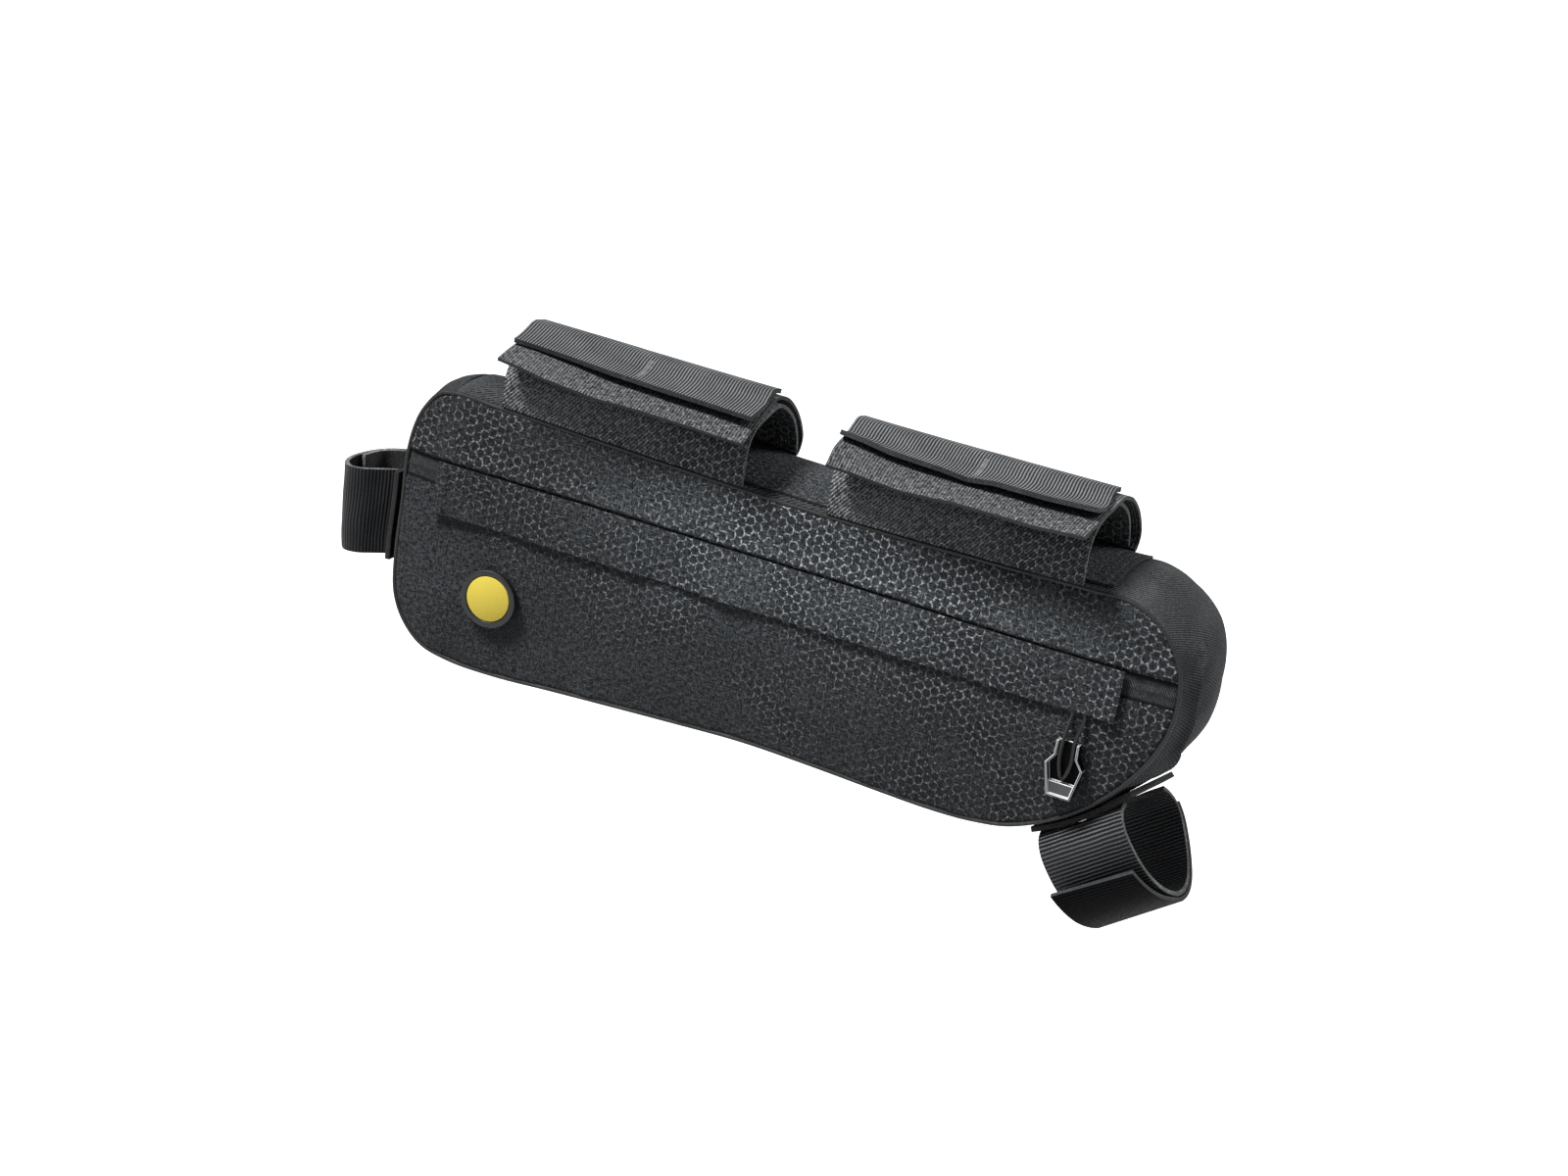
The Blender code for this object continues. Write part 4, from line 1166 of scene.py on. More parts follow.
        def place(u: Array, v: Array) -> Array:
            left = mix(lower.points[0, 0], upper.points[0, 0], v)
            right = mix(lower.points[-1, 0], upper.points[-1, 0], v)
            x, z = mix(left, right, u), mix(low, high, v)
            ridge = 0.0004 * np.exp(-((v - 0.5) / 0.12) ** 2)
            return np.stack([x, self.front(x, z) + self.tape_recess - ridge, z], 1)

        self.cloth("zip_tape_strip", "zip_tape", "zip_tape_cloth", place, (340, 14), self.outward(FRONT),
                   (self.finishes.tape,), self.tape_thickness, Wall.INWARDS, angle=60.0)

    def back_cloth(self) -> None:
        """The back panel, in rings from its sewn edge to its middle."""
        form = self.form
        half = (form.length - form.height) / 2
        height = form.top_seam - form.height / 2

        def place(u: Array, v: Array) -> Array:
            edge_x, edge_z = form.panel_edge.at(u)
            normal_x, normal_z = form.panel_edge.normal_at(u)
            push = form.back_push(u)
            share = v ** 0.8
            x = mix(edge_x - normal_x * push, np.clip(edge_x, -half, half), share)
            z = mix(edge_z - normal_z * push, np.full_like(edge_z, height), share)
            return np.stack([x, self.back(x, z), z], 1)

        self.cloth("back_cloth", "back_panel", "ripstop_cloth", place, (form.steps, 30), self.outward(BACK),
                   (self.finishes.panel,), self.panel_thickness, Wall.INWARDS,
                   lambda u, v: place(u, v)[:, [0, 2]], Around.CLOSED, even=False, angle=60.0)

    def gusset(self) -> None:
        """The band that goes round all four sides, with the pleat at its front end."""
        form = self.form
        folds = Folds(21, 0.080, 0.020, 7)
        total = form.seam.length()

        def place(u: Array, v: Array) -> Array:
            x, z = form.seam.at(u)
            normal_x, normal_z = form.seam.normal_at(u)
            back = form.back_edge(x)
            y = mix(-form.gusset_edge, back, v)
            middle = np.sin(np.pi * v)
            rise = form.swell(y, x) + folds.at(u * total, y * 1.3) * self.gusset_fold * middle
            front_end = ease((x - 0.130) / 0.020) * ease((-0.030 - z) / 0.008)
            level, place_across = np.array(PLEAT_ROWS).T
            past = y - np.interp(z, level, place_across)
            ridge = np.exp(-(past / np.where(past < 0.0, 0.0050, 0.0009)) ** 2)
            groove = np.exp(-((past - 0.0016) / 0.0010) ** 2)
            pleat = ridge * self.pleat_ridge - groove * self.pleat_groove
            rise = rise + front_end * pleat + form.back_push(u) * v ** 2
            return np.stack([x - normal_x * rise, y, z - normal_z * rise], 1)

        def lay(u: Array, v: Array) -> Array:
            return np.stack([u * total, v * 2.0 * form.gusset_edge], 1)

        def outside(u: Array, v: Array) -> Array:
            normal_x, normal_z = form.seam.normal_at(u)
            return np.stack([-normal_x, 0.0 * u, -normal_z], 1)

        self.cloth("gusset_cloth", "gusset", "gusset_canvas", place, (form.steps, 64), outside,
                   (self.finishes.gusset,), self.gusset_thickness, Wall.INWARDS, lay, Around.CLOSED,
                   angle=50.0)

    def piping(self) -> None:
        """The covered cord in both seams."""
        form = self.form
        share = np.arange(form.steps) / form.steps
        for name, node, push in (("front_piping", "front_seam_bead", 0.0 * share),
                                 ("back_piping", "back_seam_bead", form.back_push(share))):
            x, z = form.seam.moved(-push).points.T
            back = form.back_plane(x) - form.width / 2 + form.bead_plane
            y = np.full_like(x, -form.bead_plane) if name == "front_piping" else back
            item = self.bench.tube(name, np.stack([x, y, z], 1), form.piping, True)
            self.dress(item, self.finishes.piping)
            self.bench.done(item, "seam_binding", [node])

    def flap_surface(self, u: Array, v: Array) -> Array:
        """The flap's middle surface at shares of its length and height."""
        form = self.form
        x = mix(form.rear + self.flap_rear, -form.rear - self.flap_front, u)
        z = mix(self.seam_level - 0.0002, self.seam_level + self.flap_overlap - self.flap_height, v)
        wave = self.flap_wave * v * np.sin(10.0 * np.pi * u)
        wave = wave + self.flap_pucker * v * self.pucker.at(x * 0.6, z * 0.3)
        from_end = (0.5 - np.abs(u - 0.5)) * (form.length - self.flap_rear - self.flap_front)
        hem = self.flap_hem * ease((0.0062 - from_end) / 0.0010)
        away = form.clearance + self.flap_thickness / 2 + self.flap_standoff * v ** 0.8 + wave + hem
        return np.stack([x, self.front(x, z) - away, z], 1)

    def flap(self) -> None:
        """The flap over the zip, sewn along its upper edge."""
        # The flap's rims take the nearly black edge finish: painted shade that draws its ends and lower edge
        # as dark lines.
        item = self.cloth("zip_flap_cloth", "zip_flap", "ripstop_cloth", self.flap_surface, (420, 44),
                          self.outward(FRONT), (self.finishes.panel, self.finishes.black_edge),
                          self.flap_thickness, lay=lambda u, v: self.flap_surface(u, v)[:, [0, 2]])
        u = np.linspace(0.004, 0.996, 400)
        route = self.flap_surface(u, np.full_like(u, 0.085)) + np.array([0.0, -self.flap_thickness / 2, 0.0])
        self.sew("flap_seam_stitches", route, np.tile(FRONT, (len(u), 1)), self.finishes.thread,
                 "ripstop_cloth")

    def patch(self) -> None:
        """The sewn-on base under both cuffs."""
        form = self.form
        half = form.gusset_edge - 0.0035
        low, high = Cuffs.spans()[0][0], Cuffs.spans()[-1][1] + 0.011

        def place(u: Array, v: Array) -> Array:
            x = mix(low, high, u)
            y = mix(-half, half, v)
            lift = form.swell(y, x) + form.clearance + self.patch_thickness / 2
            soft = 0.0003 * self.pucker.at(x, y) * np.sin(np.pi * v)
            return np.stack([x, y, form.top(x) + lift + np.maximum(soft, 0.0)], 1)

        self.cloth("cuff_base_patch", "top_patch", "gusset_canvas", place, (200, 24),
                   self.outward((0.0, 0.0, 1.0)), (self.finishes.top, self.finishes.dark_edge),
                   self.patch_thickness)


# A cuff's layers seen from the rear, from the near edge over the tube: share of the half width, share of the
# height
CUFF_INNER_ROWS = (
    (-0.975, -0.035), (-1.010, 0.290), (-1.025, 0.540), (-0.900, 0.780), (-0.500, 0.935),
    (-0.100, 1.000), (0.240, 0.860), (0.530, 0.650), (0.730, 0.380), (0.850, 0.110),
)
CUFF_OUTER_ROWS = (
    (-1.390, 0.670), (-1.175, 0.775), (-0.880, 0.890), (-0.510, 0.980), (-0.100, 1.035),
    (0.250, 0.940), (0.510, 0.790), (0.770, 0.585), (0.990, 0.335), (1.065, 0.185), (0.945, 0.000),
)
CUFF_STRIP_ROWS = (
    (-1.075, 0.930), (-0.715, 0.975), (-0.400, 1.015), (-0.160, 1.035), (0.040, 1.002), (0.185, 0.968),
)


# How the near edge of a cuff's layer differs from an even run: share along the cuff, how far the edge reaches
# further down, how far it is lifted, how far the cloth behind it is lifted with what lies on it
Edge = tuple[tuple[float, float, float, float], ...]
EVEN_EDGE: Edge = ((0.0, 0.0, 0.0, 0.0), (1.0, 0.0, 0.0, 0.0))
REAR_FLAP_EDGE: Edge = (
    (0.0, 0.0, 0.0034, 0.0), (0.1, 0.0, 0.0023, 0.0), (0.2, 0.0, 0.0007, 0.0), (0.4, 0.0, -0.0008, 0.0),
    (0.6, 0.0, -0.0002, 0.0), (0.8, 0.0, -0.0005, 0.0), (1.0, 0.0, -0.0012, 0.0),
)
FRONT_FLAP_EDGE: Edge = (
    (0.0, 0.0, 0.0018, 0.0040), (0.1, 0.0, 0.0015, 0.0032), (0.2, 0.0, 0.0005, 0.0017),
    (0.3, 0.0, -0.0005, 0.0011), (0.5, 0.0, 0.0002, 0.0), (0.7, 0.0, -0.0005, 0.0), (0.8, 0.0, -0.0011, 0.0),
    (1.0, 0.0, -0.0002, 0.0),
)
REAR_STRIP_EDGE: Edge = (
    (0.0, -0.0031, 0.0, 0.0), (0.1, -0.0028, 0.0, 0.0), (0.25, -0.0014, 0.0, 0.0), (0.4, 0.0006, 0.0, 0.0),
    (0.6, 0.0023, 0.0, 0.0), (0.8, 0.0033, 0.0, 0.0), (1.0, 0.0050, 0.0, 0.0),
)
FRONT_STRIP_EDGE: Edge = (
    (0.0, 0.0, 0.0044, 0.0), (0.1, 0.0, 0.0035, 0.0), (0.2, 0.0, 0.0018, 0.0), (0.4, 0.0, 0.0006, 0.0),
    (0.5, 0.0, -0.0006, 0.0), (0.6, 0.0, 0.0007, 0.0), (0.8, 0.0, 0.0004, 0.0), (1.0, 0.0, 0.0012, 0.0),
)


@dataclass(frozen=True)
class CuffShape:
    """What differs between the two cuffs."""

    name: str
    rear_flare: float
    front_flare: float
    strip_lead: float
    strip_lag: float
    seed: int
    flap_edge: Edge
    strip_edge: Edge
    heights: tuple[float, float]
    flap_lead: tuple[float, float]


@dataclass
class Cuffs(SubAssembly):
    """The two wrap-over cuffs for the top tube, each of two cloth layers and a webbing strip."""

    half_width: float = 0.030
    height: float = 0.027
    fabric: float = 0.0015
    webbing: float = 0.0020
    strip_flare: float = 0.4
    strip_rear_lag: float = 0.0040
    fold_height: float = 0.00035
    shapes: tuple[CuffShape, ...] = (
        CuffShape("cuff_rear", 0.0, 0.0015, 0.0015, 0.0045, 31, REAR_FLAP_EDGE, REAR_STRIP_EDGE,
                  (0.945, 1.045), (0.0020, -0.0016)),
        CuffShape("cuff_front", 0.0, 0.0070, 0.0015, 0.0030, 32, FRONT_FLAP_EDGE, FRONT_STRIP_EDGE,
                  (1.035, 1.000), (0.0020, 0.0018)),
    )

    @staticmethod
    def spans() -> list[tuple[float, float]]:
        """Where each cuff starts and ends along the bag."""
        length, gap, shift = 0.110, 0.0375, -0.0048
        first = shift - gap / 2 - length
        starts = (first, first + length + gap)
        return [(start, start + length) for start in starts]

    def layer(self, rows: Sequence[Sequence[float]], below: float, thickness: float,
              span: tuple[float, float], flare: tuple[float, float], edge_rows: Edge, shape: CuffShape,
              seed: int) -> Place:
        """The middle surface of one layer of a cuff.

        Args:
            rows: Its under side, as shares of the half width and the height.
            below: The thickness of what lies under it.
            thickness: Its own thickness.
            span: Where it starts and ends along the bag.
            flare: How far its free edge stands out at each end.
            edge_rows: How its near edge differs from an even run.
            shape: The cuff that it belongs to.
            seed: Chooses its folds.

        Returns:
            The surface as a function of two shares.
        """
        form = self.form
        points = [(half * self.half_width, form.clearance + rise * self.height) for half, rise in rows]
        path = Path.through(points, 160).moved(below + thickness / 2)
        normals = path.normals()
        lowest = form.clearance + np.abs(normals[:, 1]) * thickness / 2
        path.points[:, 1] = np.maximum(path.points[:, 1], lowest)
        folds = Folds(seed, 0.090, 0.018, 7)
        at, reaches, lifts, swells = np.array(edge_rows).T
        onwards = path.points[0] - path.points[6]
        onwards /= np.linalg.norm(onwards)

        def place(u: Array, v: Array) -> Array:
            x = mix(span[0], span[1], u)
            y, z = path.at(v)
            out_y, out_z = path.normal_at(v)
            edge = np.maximum(1.0 - 3.0 * v, 0.0) ** 1.5
            away = mix(flare[0], flare[1], ease(u)) * edge
            reach = np.interp(u, at, reaches) * edge
            lift = np.interp(u, at, lifts) * edge
            lift = lift + np.interp(u, at, swells) * ease(v / 0.08) * (1.0 - ease((v - 0.12) / 0.34))
            lift = lift + z * (mix(shape.heights[0], shape.heights[1], u) - 1.0)
            soft = folds.at(x, v * 0.07) * self.fold_height * np.sin(np.pi * np.clip(v, 0.0, 1.0)) ** 0.5
            height = form.top(x) + form.bead + z + away * 0.6 + onwards[1] * reach + lift + out_z * soft
            return np.stack([x, y - away + onwards[0] * reach + out_y * soft, height], 1)

        return place

    def outside(self, u: Array, v: Array) -> Array:
        """Up and away from the tube, for every layer."""
        return np.stack([0.0 * u, (v - 0.4) * 2.0, 1.0 - v * 0.5], 1)

    def upwards(self, first: Array, second: Array) -> Array:
        """Directions square to two others, turned up."""
        out = unit(np.cross(first, second))
        return out * np.sign(out[:, 2:3])

    def build(self) -> None:
        """Make both cuffs."""
        above_inner = self.fabric + self.form.clearance
        above_outer = above_inner + self.fabric + self.form.clearance
        for shape, span in zip(self.shapes, self.spans()):
            flare = (shape.rear_flare, shape.front_flare)
            self.inner(shape, self.layer(CUFF_INNER_ROWS, 0.0, self.fabric, span, (0.0, 0.0), EVEN_EDGE,
                                         shape, shape.seed))
            self.outer(shape, self.layer(CUFF_OUTER_ROWS, above_inner, self.fabric, span, flare,
                                         shape.flap_edge, shape, shape.seed + 10))
            strip_flare = (flare[0] * self.strip_flare, flare[1] * self.strip_flare)
            self.strip(shape, self.layer(CUFF_STRIP_ROWS, above_outer, self.webbing, span, strip_flare,
                                         shape.strip_edge, shape, shape.seed + 10))

    def flat_length(self, place: Place) -> float:
        """How long a layer is over the tube, laid flat."""
        v = np.linspace(0.0, 1.0, 100)
        line = place(np.full_like(v, 0.5), v)
        return float(np.linalg.norm(np.diff(line, axis=0), axis=1).sum())

    def inner(self, shape: CuffShape, place: Place) -> None:
        """The layer that lies against the tube."""
        kinds = (self.finishes.lining, self.finishes.edge)
        item = self.cloth(shape.name + "_lining_cloth", shape.name + "_inner", "ripstop_cloth", place,
                          (110, 60), self.outside, kinds, self.fabric)
        self.flat_length(place)

    def outer(self, shape: CuffShape, even: Place) -> None:
        """The layer that wraps over and ends in a free edge, with the stitches of its hem."""

        def place(u: Array, v: Array) -> Array:
            points = even(u, v)
            points[:, 0] += ease(u) * mix(shape.flap_lead[0], shape.flap_lead[1], ease(v / 0.5))
            return points

        kinds = (self.finishes.cuff, self.finishes.dark_edge)
        item = self.cloth(shape.name + "_flap_cloth", shape.name + "_outer", "ripstop_cloth", place,
                          (110, 70), self.outside, kinds, self.fabric)
        self.flat_length(place)
        u = np.linspace(0.02, 0.98, 160)
        v = np.full_like(u, 0.045)
        route = place(u, v)
        out = self.upwards(place(u, v + 0.01) - route, np.tile([1.0, 0.0, 0.0], (len(u), 1)))
        self.sew(shape.name + "_hem_stitches", route + out * self.fabric / 2, out, self.finishes.thread,
                 "ripstop_cloth")

    def strip(self, shape: CuffShape, place: Place) -> None:
        """The webbing strip on top, its ends cut a little askew."""

        def askew(u: Array, v: Array) -> Array:
            points = place(u, v)
            points[:, 0] += ease(u) * mix(shape.strip_lead, -shape.strip_lag, ease(v))
            points[:, 0] -= ease(1.0 - u) * self.strip_rear_lag * ease(v)
            return points

        kinds = (self.finishes.strip, self.finishes.dark_edge)
        self.cloth(shape.name + "_strip", shape.name + "_webbing", "ribbed_webbing", askew, (110, 40),
                   self.outside, kinds, self.webbing)
        v = np.linspace(0.06, 0.62, 60)
        for number, share in enumerate((0.512, 0.520, 0.528)):
            u = np.full_like(v, share)
            route = askew(u, v)
            out = self.upwards(askew(u + 0.01, v) - route, askew(u, v + 0.01) - route)
            self.sew(f"{shape.name}_strip_bar_{number + 1}", route + out * self.webbing / 2, out,
                     self.finishes.bar, "ribbed_webbing", 0.0016, 0.0005, 0.00030)


# The seat tube loop seen from above: share of its reach, share of its width
REAR_LOOP_ROWS = (
    (0.000, -0.360), (0.230, -0.430), (0.480, -0.500), (0.720, -0.470), (0.900, -0.330),
    (1.000, -0.080), (0.990, 0.150), (0.900, 0.340), (0.700, 0.470), (0.380, 0.500), (0.000, 0.440),
)


@dataclass
class RearStrap(SubAssembly):
    """The webbing loop for the seat tube, its lining and the plate it is sewn to."""

    width: float = 0.0377
    drop: float = 0.0410
    lean: float = math.radians(9.5)
    reach: float = 0.0280
    loop_width: float = 0.0400
    centre: float = -0.0055
    taper: float = 0.10
    margin: float = 0.0008
    webbing: float = 0.0020
    plate_thickness: float = 0.0024

    def rooted(self, y: Array, share: Array, lift: float) -> Array:
        """Points on the line where the strap is sewn, a lift away from the gusset."""
        z = self.form.top_seam - self.drop - math.cos(self.lean) * self.width * share
        x = self.form.rear_line(z) - 0.0008 - self.form.gusset_crown - lift
        return np.stack([x, y, z], 1)

    def build(self) -> None:
        """Make the plate, the loop and its lining."""
        form = self.form
        half = self.loop_width / 2 + self.margin
        seat = 2.0 * form.clearance + self.plate_thickness + self.webbing / 2

        def plate(u: Array, v: Array) -> Array:
            y = self.centre + mix(-half, half, u)
            return self.rooted(y, mix(-self.margin, self.width + self.margin, v) / self.width,
                               form.clearance + self.plate_thickness / 2)

        self.cloth("rear_strap_patch", "rear_strap_base", "gusset_canvas", plate, (40, 40),
                   self.outward((-1.0, 0.0, 0.0)), (self.finishes.plate, self.finishes.black_edge),
                   self.plate_thickness, rounded=0.0004)

        chosen = [(-reach * self.reach, side * self.loop_width) for reach, side in REAR_LOOP_ROWS]
        path = Path.through(chosen, 208)
        fold = 208 * 14 // 26
        inner = Path(path.moved(-self.webbing - form.clearance).points[fold:])
        self.band("seat_tube_loop", "rear_strap_loop", path, 1.0, seat, (220, 30),
                  (self.finishes.narrow, self.finishes.edge))
        self.band("seat_tube_loop_lining", "rear_strap_lining", inner, 0.80, seat, (90, 30),
                  (self.finishes.pile, self.finishes.edge))

    def band(self, name: str, node: str, route: Path, last: float, seat: float, steps: tuple[int, int],
             kinds: tuple) -> None:
        """Webbing that stands along a route seen from above.

        Args:
            name: The piece's name.
            node: The node that it stands for.
            route: Reach behind the bag, as less than nothing, and place across.
            last: The share of the route where it ends.
            seat: How far its roots stand off the gusset.
            steps: Its faces along the route and up its width.
            kinds: Its finishes.
        """
        out = np.array([-math.cos(self.lean), 0.0, -math.sin(self.lean)])
        folds = Folds(41, 0.060, 0.015, 6)

        def place(u: Array, v: Array) -> Array:
            depth, side = route.at(u * last)
            normal_x, normal_y = route.normal_at(u * last)
            reach = np.maximum(-depth, 0.0) * (1.0 - self.taper * v)
            soft = folds.at(u * 0.10, v * 0.036) * 0.0004 * np.minimum(reach / 0.006, 1.0)
            root = self.rooted(self.centre + side + normal_y * soft, v, seat)
            return root + out * (reach - normal_x * soft)[:, None]

        def outside(u: Array, v: Array) -> Array:
            normal_x, normal_y = route.normal_at(u * last)
            return np.stack([normal_x, normal_y, 0.0 * u], 1)

        self.cloth(name, node, "ribbed_webbing", place, steps, outside, kinds, self.webbing, rounded=0.0002)


# The down tube loop seen along its axis: share of the half width, share of the depth
FRONT_LOOP_ROWS = (
    (-0.640, 0.060), (-0.870, 0.120), (-0.985, 0.235), (-0.985, 0.430), (-0.890, 0.620),
    (-0.720, 0.780), (-0.470, 0.910), (-0.180, 0.990), (0.100, 0.990), (0.330, 0.935),
    (0.560, 0.810), (0.750, 0.660), (0.890, 0.500), (0.910, 0.380), (0.830, 0.280), (0.700, 0.200),
)


@dataclass
class FrontStrap(SubAssembly):
    """The hook-and-loop strap for the down tube, its free tab and the plate it is sewn to."""

    width: float = 0.0380
    slope: float = math.radians(36.0)
    from_end: float = 0.0325
    half_width: float = 0.0320
    depth: float = 0.0480
    webbing: float = 0.0020
    plate_thickness: float = 0.0024
    plate_rear: float = 0.0215
    plate_front: float = 0.0240
    plate_half: float = 0.0255
    plate_slant: float = 0.115
    plate_standoff: float = 0.0010
    tab_lift_front: float = 0.0080
    tab_lift_rear: float = 0.0050
    tab_back: float = 29 / 32
    tab_free: float = 7 / 32
    tab_parts_at: float = 0.62

    def __post_init__(self) -> None:
        """Work out the strap's own axes and the line of the seam near it."""
        form = self.form
        self.along = np.array([math.cos(self.slope), math.sin(self.slope)])
        self.below = np.array([self.along[1], -self.along[0]])
        middle_x = -form.rear - self.from_end
        rows = form.outline.points
        lower = rows[rows[:, 1] < form.top_seam - form.height / 2]
        lower = lower[np.argsort(lower[:, 0])]
        self.middle = np.array([middle_x, np.interp(middle_x, lower[:, 0], lower[:, 1])])
        self.middle_x = middle_x
        y = np.arange(-25, 26) * 0.001
        self.seat_rise = float((form.swell(y, np.full_like(y, middle_x)) - self.plate_slant * y).max())

    def seam_at(self, run: Array, lift: Array) -> Array:
        """The depth of a line that stands off the seam by a lift, at a run along the strap's axis."""
        form = self.form
        base = form.seam.points - self.middle
        normal = -form.seam.normals()
        near = (base @ self.below > -self.half_width) & (np.abs(base @ self.along) < 0.06)
        base, normal = base[near], normal[near]
        order = np.argsort(base @ self.along)
        base, normal = base[order], normal[order]
        depth = np.zeros(len(run))
        for index, (one_run, one_lift) in enumerate(zip(run, lift)):
            line = base + normal * one_lift
            depth[index] = np.interp(one_run, line @ self.along, line @ self.below)
        return depth

    def plate_depth(self, run: Array, y: Array, lift: float) -> Array:
        """The depth of the plate's surface."""
        off = self.plate_standoff * (np.maximum(run, 0.0) / self.plate_front) ** 2
        return self.seam_at(run, self.seat_rise + self.plate_slant * y + lift) + off

    def world(self, run: Array, y: Array, depth: Array) -> Array:
        """Points in the bag's frame."""
        flat = self.middle + run[:, None] * self.along + depth[:, None] * self.below
        return np.stack([flat[:, 0], y, flat[:, 1]], 1)

    def build(self) -> None:
        """Make the plate, the loop and the tab."""
        form = self.form
        below = (self.below[0], 0.0, self.below[1])

        def plate(u: Array, v: Array) -> Array:
            run = mix(-self.plate_rear, self.plate_front, u)
            y = mix(-self.plate_half, self.plate_half, v)
            return self.world(run, y, self.plate_depth(run, y, form.clearance + self.plate_thickness / 2))

        self.cloth("front_strap_patch", "front_strap_base", "gusset_canvas", plate, (60, 40),
                   self.outward(below), (self.finishes.plate, self.finishes.black_edge),
                   self.plate_thickness, rounded=0.0003)

        chosen = [(side * self.half_width, -depth * self.depth) for side, depth in FRONT_LOOP_ROWS]
        path = Path.through(chosen, 256)
        seat = 2.0 * form.clearance + self.plate_thickness + self.webbing / 2

        def loop(u: Array, v: Array) -> Array:
            run = (v - 0.5) * self.width
            y, rise = path.at(u)
            depth = np.maximum(-rise, self.plate_depth(run, y, seat))
            return self.world(run, y, depth)

        def loop_outside(u: Array, v: Array) -> Array:
            normal_y, normal_rise = path.normal_at(u)
            return np.stack([normal_rise * self.below[0], -normal_y, normal_rise * self.below[1]], 1)

        self.cloth("down_tube_loop", "front_strap_loop", "ribbed_webbing", loop, (256, 30), loop_outside,
                   (self.finishes.webbing, self.finishes.edge), self.webbing, rounded=0.0002)

        def tab(u: Array, v: Array) -> Array:
            run = (v - 0.5) * self.width
            at = mix(self.tab_back, self.tab_free, u)
            free = np.maximum((u - self.tab_parts_at) / (1.0 - self.tab_parts_at), 0.0) ** 1.6
            free_lift = mix(self.tab_lift_rear, self.tab_lift_front, v)
            lift = self.webbing + 1.5 * form.clearance + free * free_lift
            y, rise = path.at(at)
            normal_y, normal_rise = path.normal_at(at)
            return self.world(run, y - normal_y * lift, -(rise - normal_rise * lift))

        def tab_outside(u: Array, v: Array) -> Array:
            return loop_outside(mix(self.tab_back, self.tab_free, u), v)

        self.cloth("down_tube_tab", "front_strap_tab", "ribbed_webbing", tab, (200, 30), tab_outside,
                   (self.finishes.tab, self.finishes.dark_edge), self.webbing, rounded=0.0002)


@dataclass
class SmallParts(SubAssembly):
    """The badge, and the zip's pull with its cord."""

    block_height: float = 0.0052
    block_half: float = 0.0050

    def copied(self, name: str, node: str, kinds: tuple, slot: str, rounded: float, segments: int) -> None:
        """A small moulding: the node's own form with its edges rounded.

        Args:
            name: The piece's name.
            node: The node that it stands for.
            kinds: Its finishes.
            slot: Not used.
            rounded: How far its edges are rounded.
            segments: How finely.
        """
        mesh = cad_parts[node].data.copy()
        mesh.name = name
        item = linked(name, mesh)
        mesh.materials.clear()
        self.bench.edit(item, lambda: bpy.ops.mesh.remove_doubles(threshold=1e-6))
        self.bench.edit(item, lambda: bpy.ops.mesh.dissolve_limited(angle_limit=math.radians(2.0)))
        self.dress(item, *kinds)
        # On the grip, the lowest faces near its middle take the grey block finish, partly a painted
        # highlight.
        if len(kinds) > 2:
            foot = min(face.center.z for face in mesh.polygons)
            middle = sum(face.center.x for face in mesh.polygons) / len(mesh.polygons)
            for face in mesh.polygons:
                low = face.center.z < foot + self.block_height
                face.material_index = int(low and abs(face.center.x - middle) < self.block_half)
        # The rounded edges take the last finish; on the grip that is a painted highlight.
        self.bench.modify(item, "BEVEL", width=rounded, segments=segments, limit_method="ANGLE",
                          angle_limit=math.radians(35.0), material=len(kinds) - 1)
        self.bench.done(item, slot, [node], 40.0)

    def build(self) -> None:
        """Make the badge, the grip and the cord."""
        self.copied("badge_dish", "badge_base", (self.finishes.rubber,), "badge_rubber", 0.0004, 3)
        self.copied("badge_disc", "badge_face", (self.finishes.yellow,), "badge_yellow", 0.0002, 2)
        # The grip's finishes: black plastic, the grey block at its foot, and its rounded edges in painted
        # highlight.
        kinds = (self.finishes.grip, self.finishes.block, self.finishes.bevel)
        self.copied("pull_moulding", "pull_grip", kinds, "grip_moulding", 0.00034, 2)
        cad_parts["pull_cord"].data.materials.clear()
        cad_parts["pull_cord"].data.materials.append(self.finishes.get(self.finishes.cord))


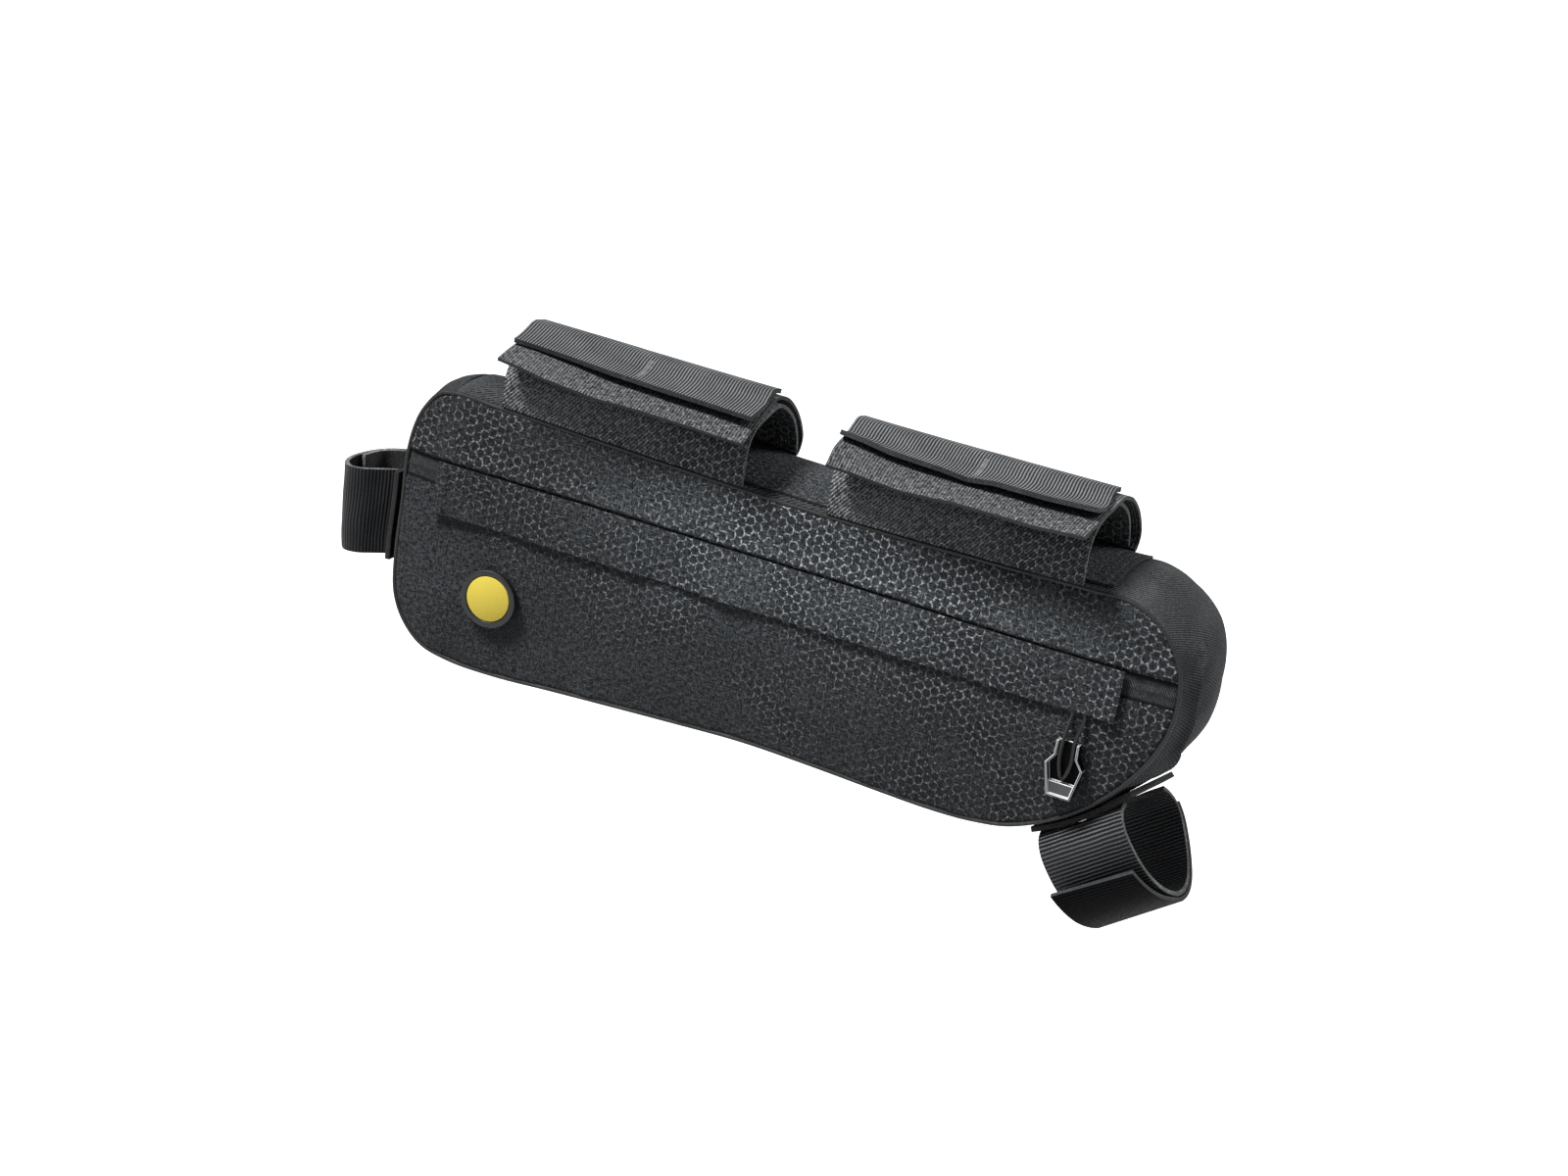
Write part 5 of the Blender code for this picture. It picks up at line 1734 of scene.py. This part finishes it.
@dataclass
class Studio:
    """The camera, the floor and the lights."""

    lens: float = 90.0
    camera_at: tuple[float, float, float] = (0.5041, -1.4466, 0.4495)
    right: tuple[float, float, float] = (0.9058862, 0.3841788, 0.1782604)
    down: tuple[float, float, float] = (0.2810086, -0.2303200, -0.9316581)
    ahead: tuple[float, float, float] = (-0.3168664, 0.8940690, -0.3166013)
    floor_height: float = -0.42

    def build(self) -> None:
        """Set the stage."""
        self.camera()
        self.floor()
        self.light("key", "SUN", (-0.95, -0.85, 1.75), 15.0, 5.0)
        self.light("rim", "AREA", (1.1, 1.2, 1.3), 1.0, 22.0)
        self.surroundings(0.24)

    def surroundings(self, strength: float) -> None:
        """White all round, seen bright by the camera and soft by the bag."""
        world = bpy.data.worlds.new("studio")
        world.use_nodes = True
        nodes, links = world.node_tree.nodes, world.node_tree.links
        seen = nodes.new("ShaderNodeLightPath")
        brightness = nodes.new("ShaderNodeMapRange")
        brightness.inputs["To Min"].default_value = strength
        brightness.inputs["To Max"].default_value = 1.0
        links.new(seen.outputs["Is Camera Ray"], brightness.inputs["Value"])
        links.new(brightness.outputs[0], nodes["Background"].inputs["Strength"])
        nodes["Background"].inputs["Color"].default_value = (0.96, 0.98, 1.0, 1.0)
        bpy.context.scene.world = world
        bpy.context.scene.view_settings.view_transform = "Standard"

    def camera(self) -> None:
        """The camera at the photograph's viewing angle."""
        data = bpy.data.cameras.new("camera")
        data.lens = self.lens
        data.sensor_width = 36.0
        item = linked("camera", data)
        columns = [Vector(self.right), -Vector(self.down), -Vector(self.ahead)]
        turn = Matrix(columns).transposed().to_4x4()
        item.matrix_world = Matrix.Translation(self.camera_at) @ turn
        bpy.context.scene.camera = item

    def floor(self) -> None:
        """A plain pale floor."""
        bpy.ops.object.select_all(action="DESELECT")
        bpy.ops.mesh.primitive_plane_add(size=16.0, location=(0.0, 3.0, self.floor_height))
        item = bpy.context.object
        item.name = "floor"
        shader = Shader("floor_white")
        shader.coat((0.92, 0.92, 0.92, 1.0), 0.9)
        item.data.materials.append(shader.material)
        item.visible_diffuse = False

    def light(self, name: str, kind: str, place: tuple[float, float, float], size: float,
              power: float) -> None:
        """A soft light that looks at the bag.

        Args:
            name: The light's name.
            kind: AREA for a square light in metres and watts, SUN for an even one in degrees and watts a
                square metre.
            place: Where it hangs.
            size: How large it is.
            power: How strong it is.
        """
        data = bpy.data.lights.new(name, kind)
        data.energy = power
        if kind == "SUN":
            data.angle = math.radians(size)
        else:
            data.size = size
        item = linked(name, data)
        item.location = place
        item.rotation_euler = (Vector((0.0, 0.0, -0.06)) - Vector(place)).to_track_quat("-Z", "Y").to_euler()


def main() -> None:
    """Build the bag and its stage."""
    logging.basicConfig(level=logging.INFO, format="%(name)s: %(message)s")
    Studio().build()
    form, bench, finishes = BagForm(), Workbench(), Finishes()
    Shell(form, bench, finishes).build()
    Cuffs(form, bench, finishes).build()
    RearStrap(form, bench, finishes).build()
    FrontStrap(form, bench, finishes).build()
    SmallParts(form, bench, finishes).build()
    LOG.info("%d pieces", len(bench.pieces))


if __name__ == "__main__":
    main()
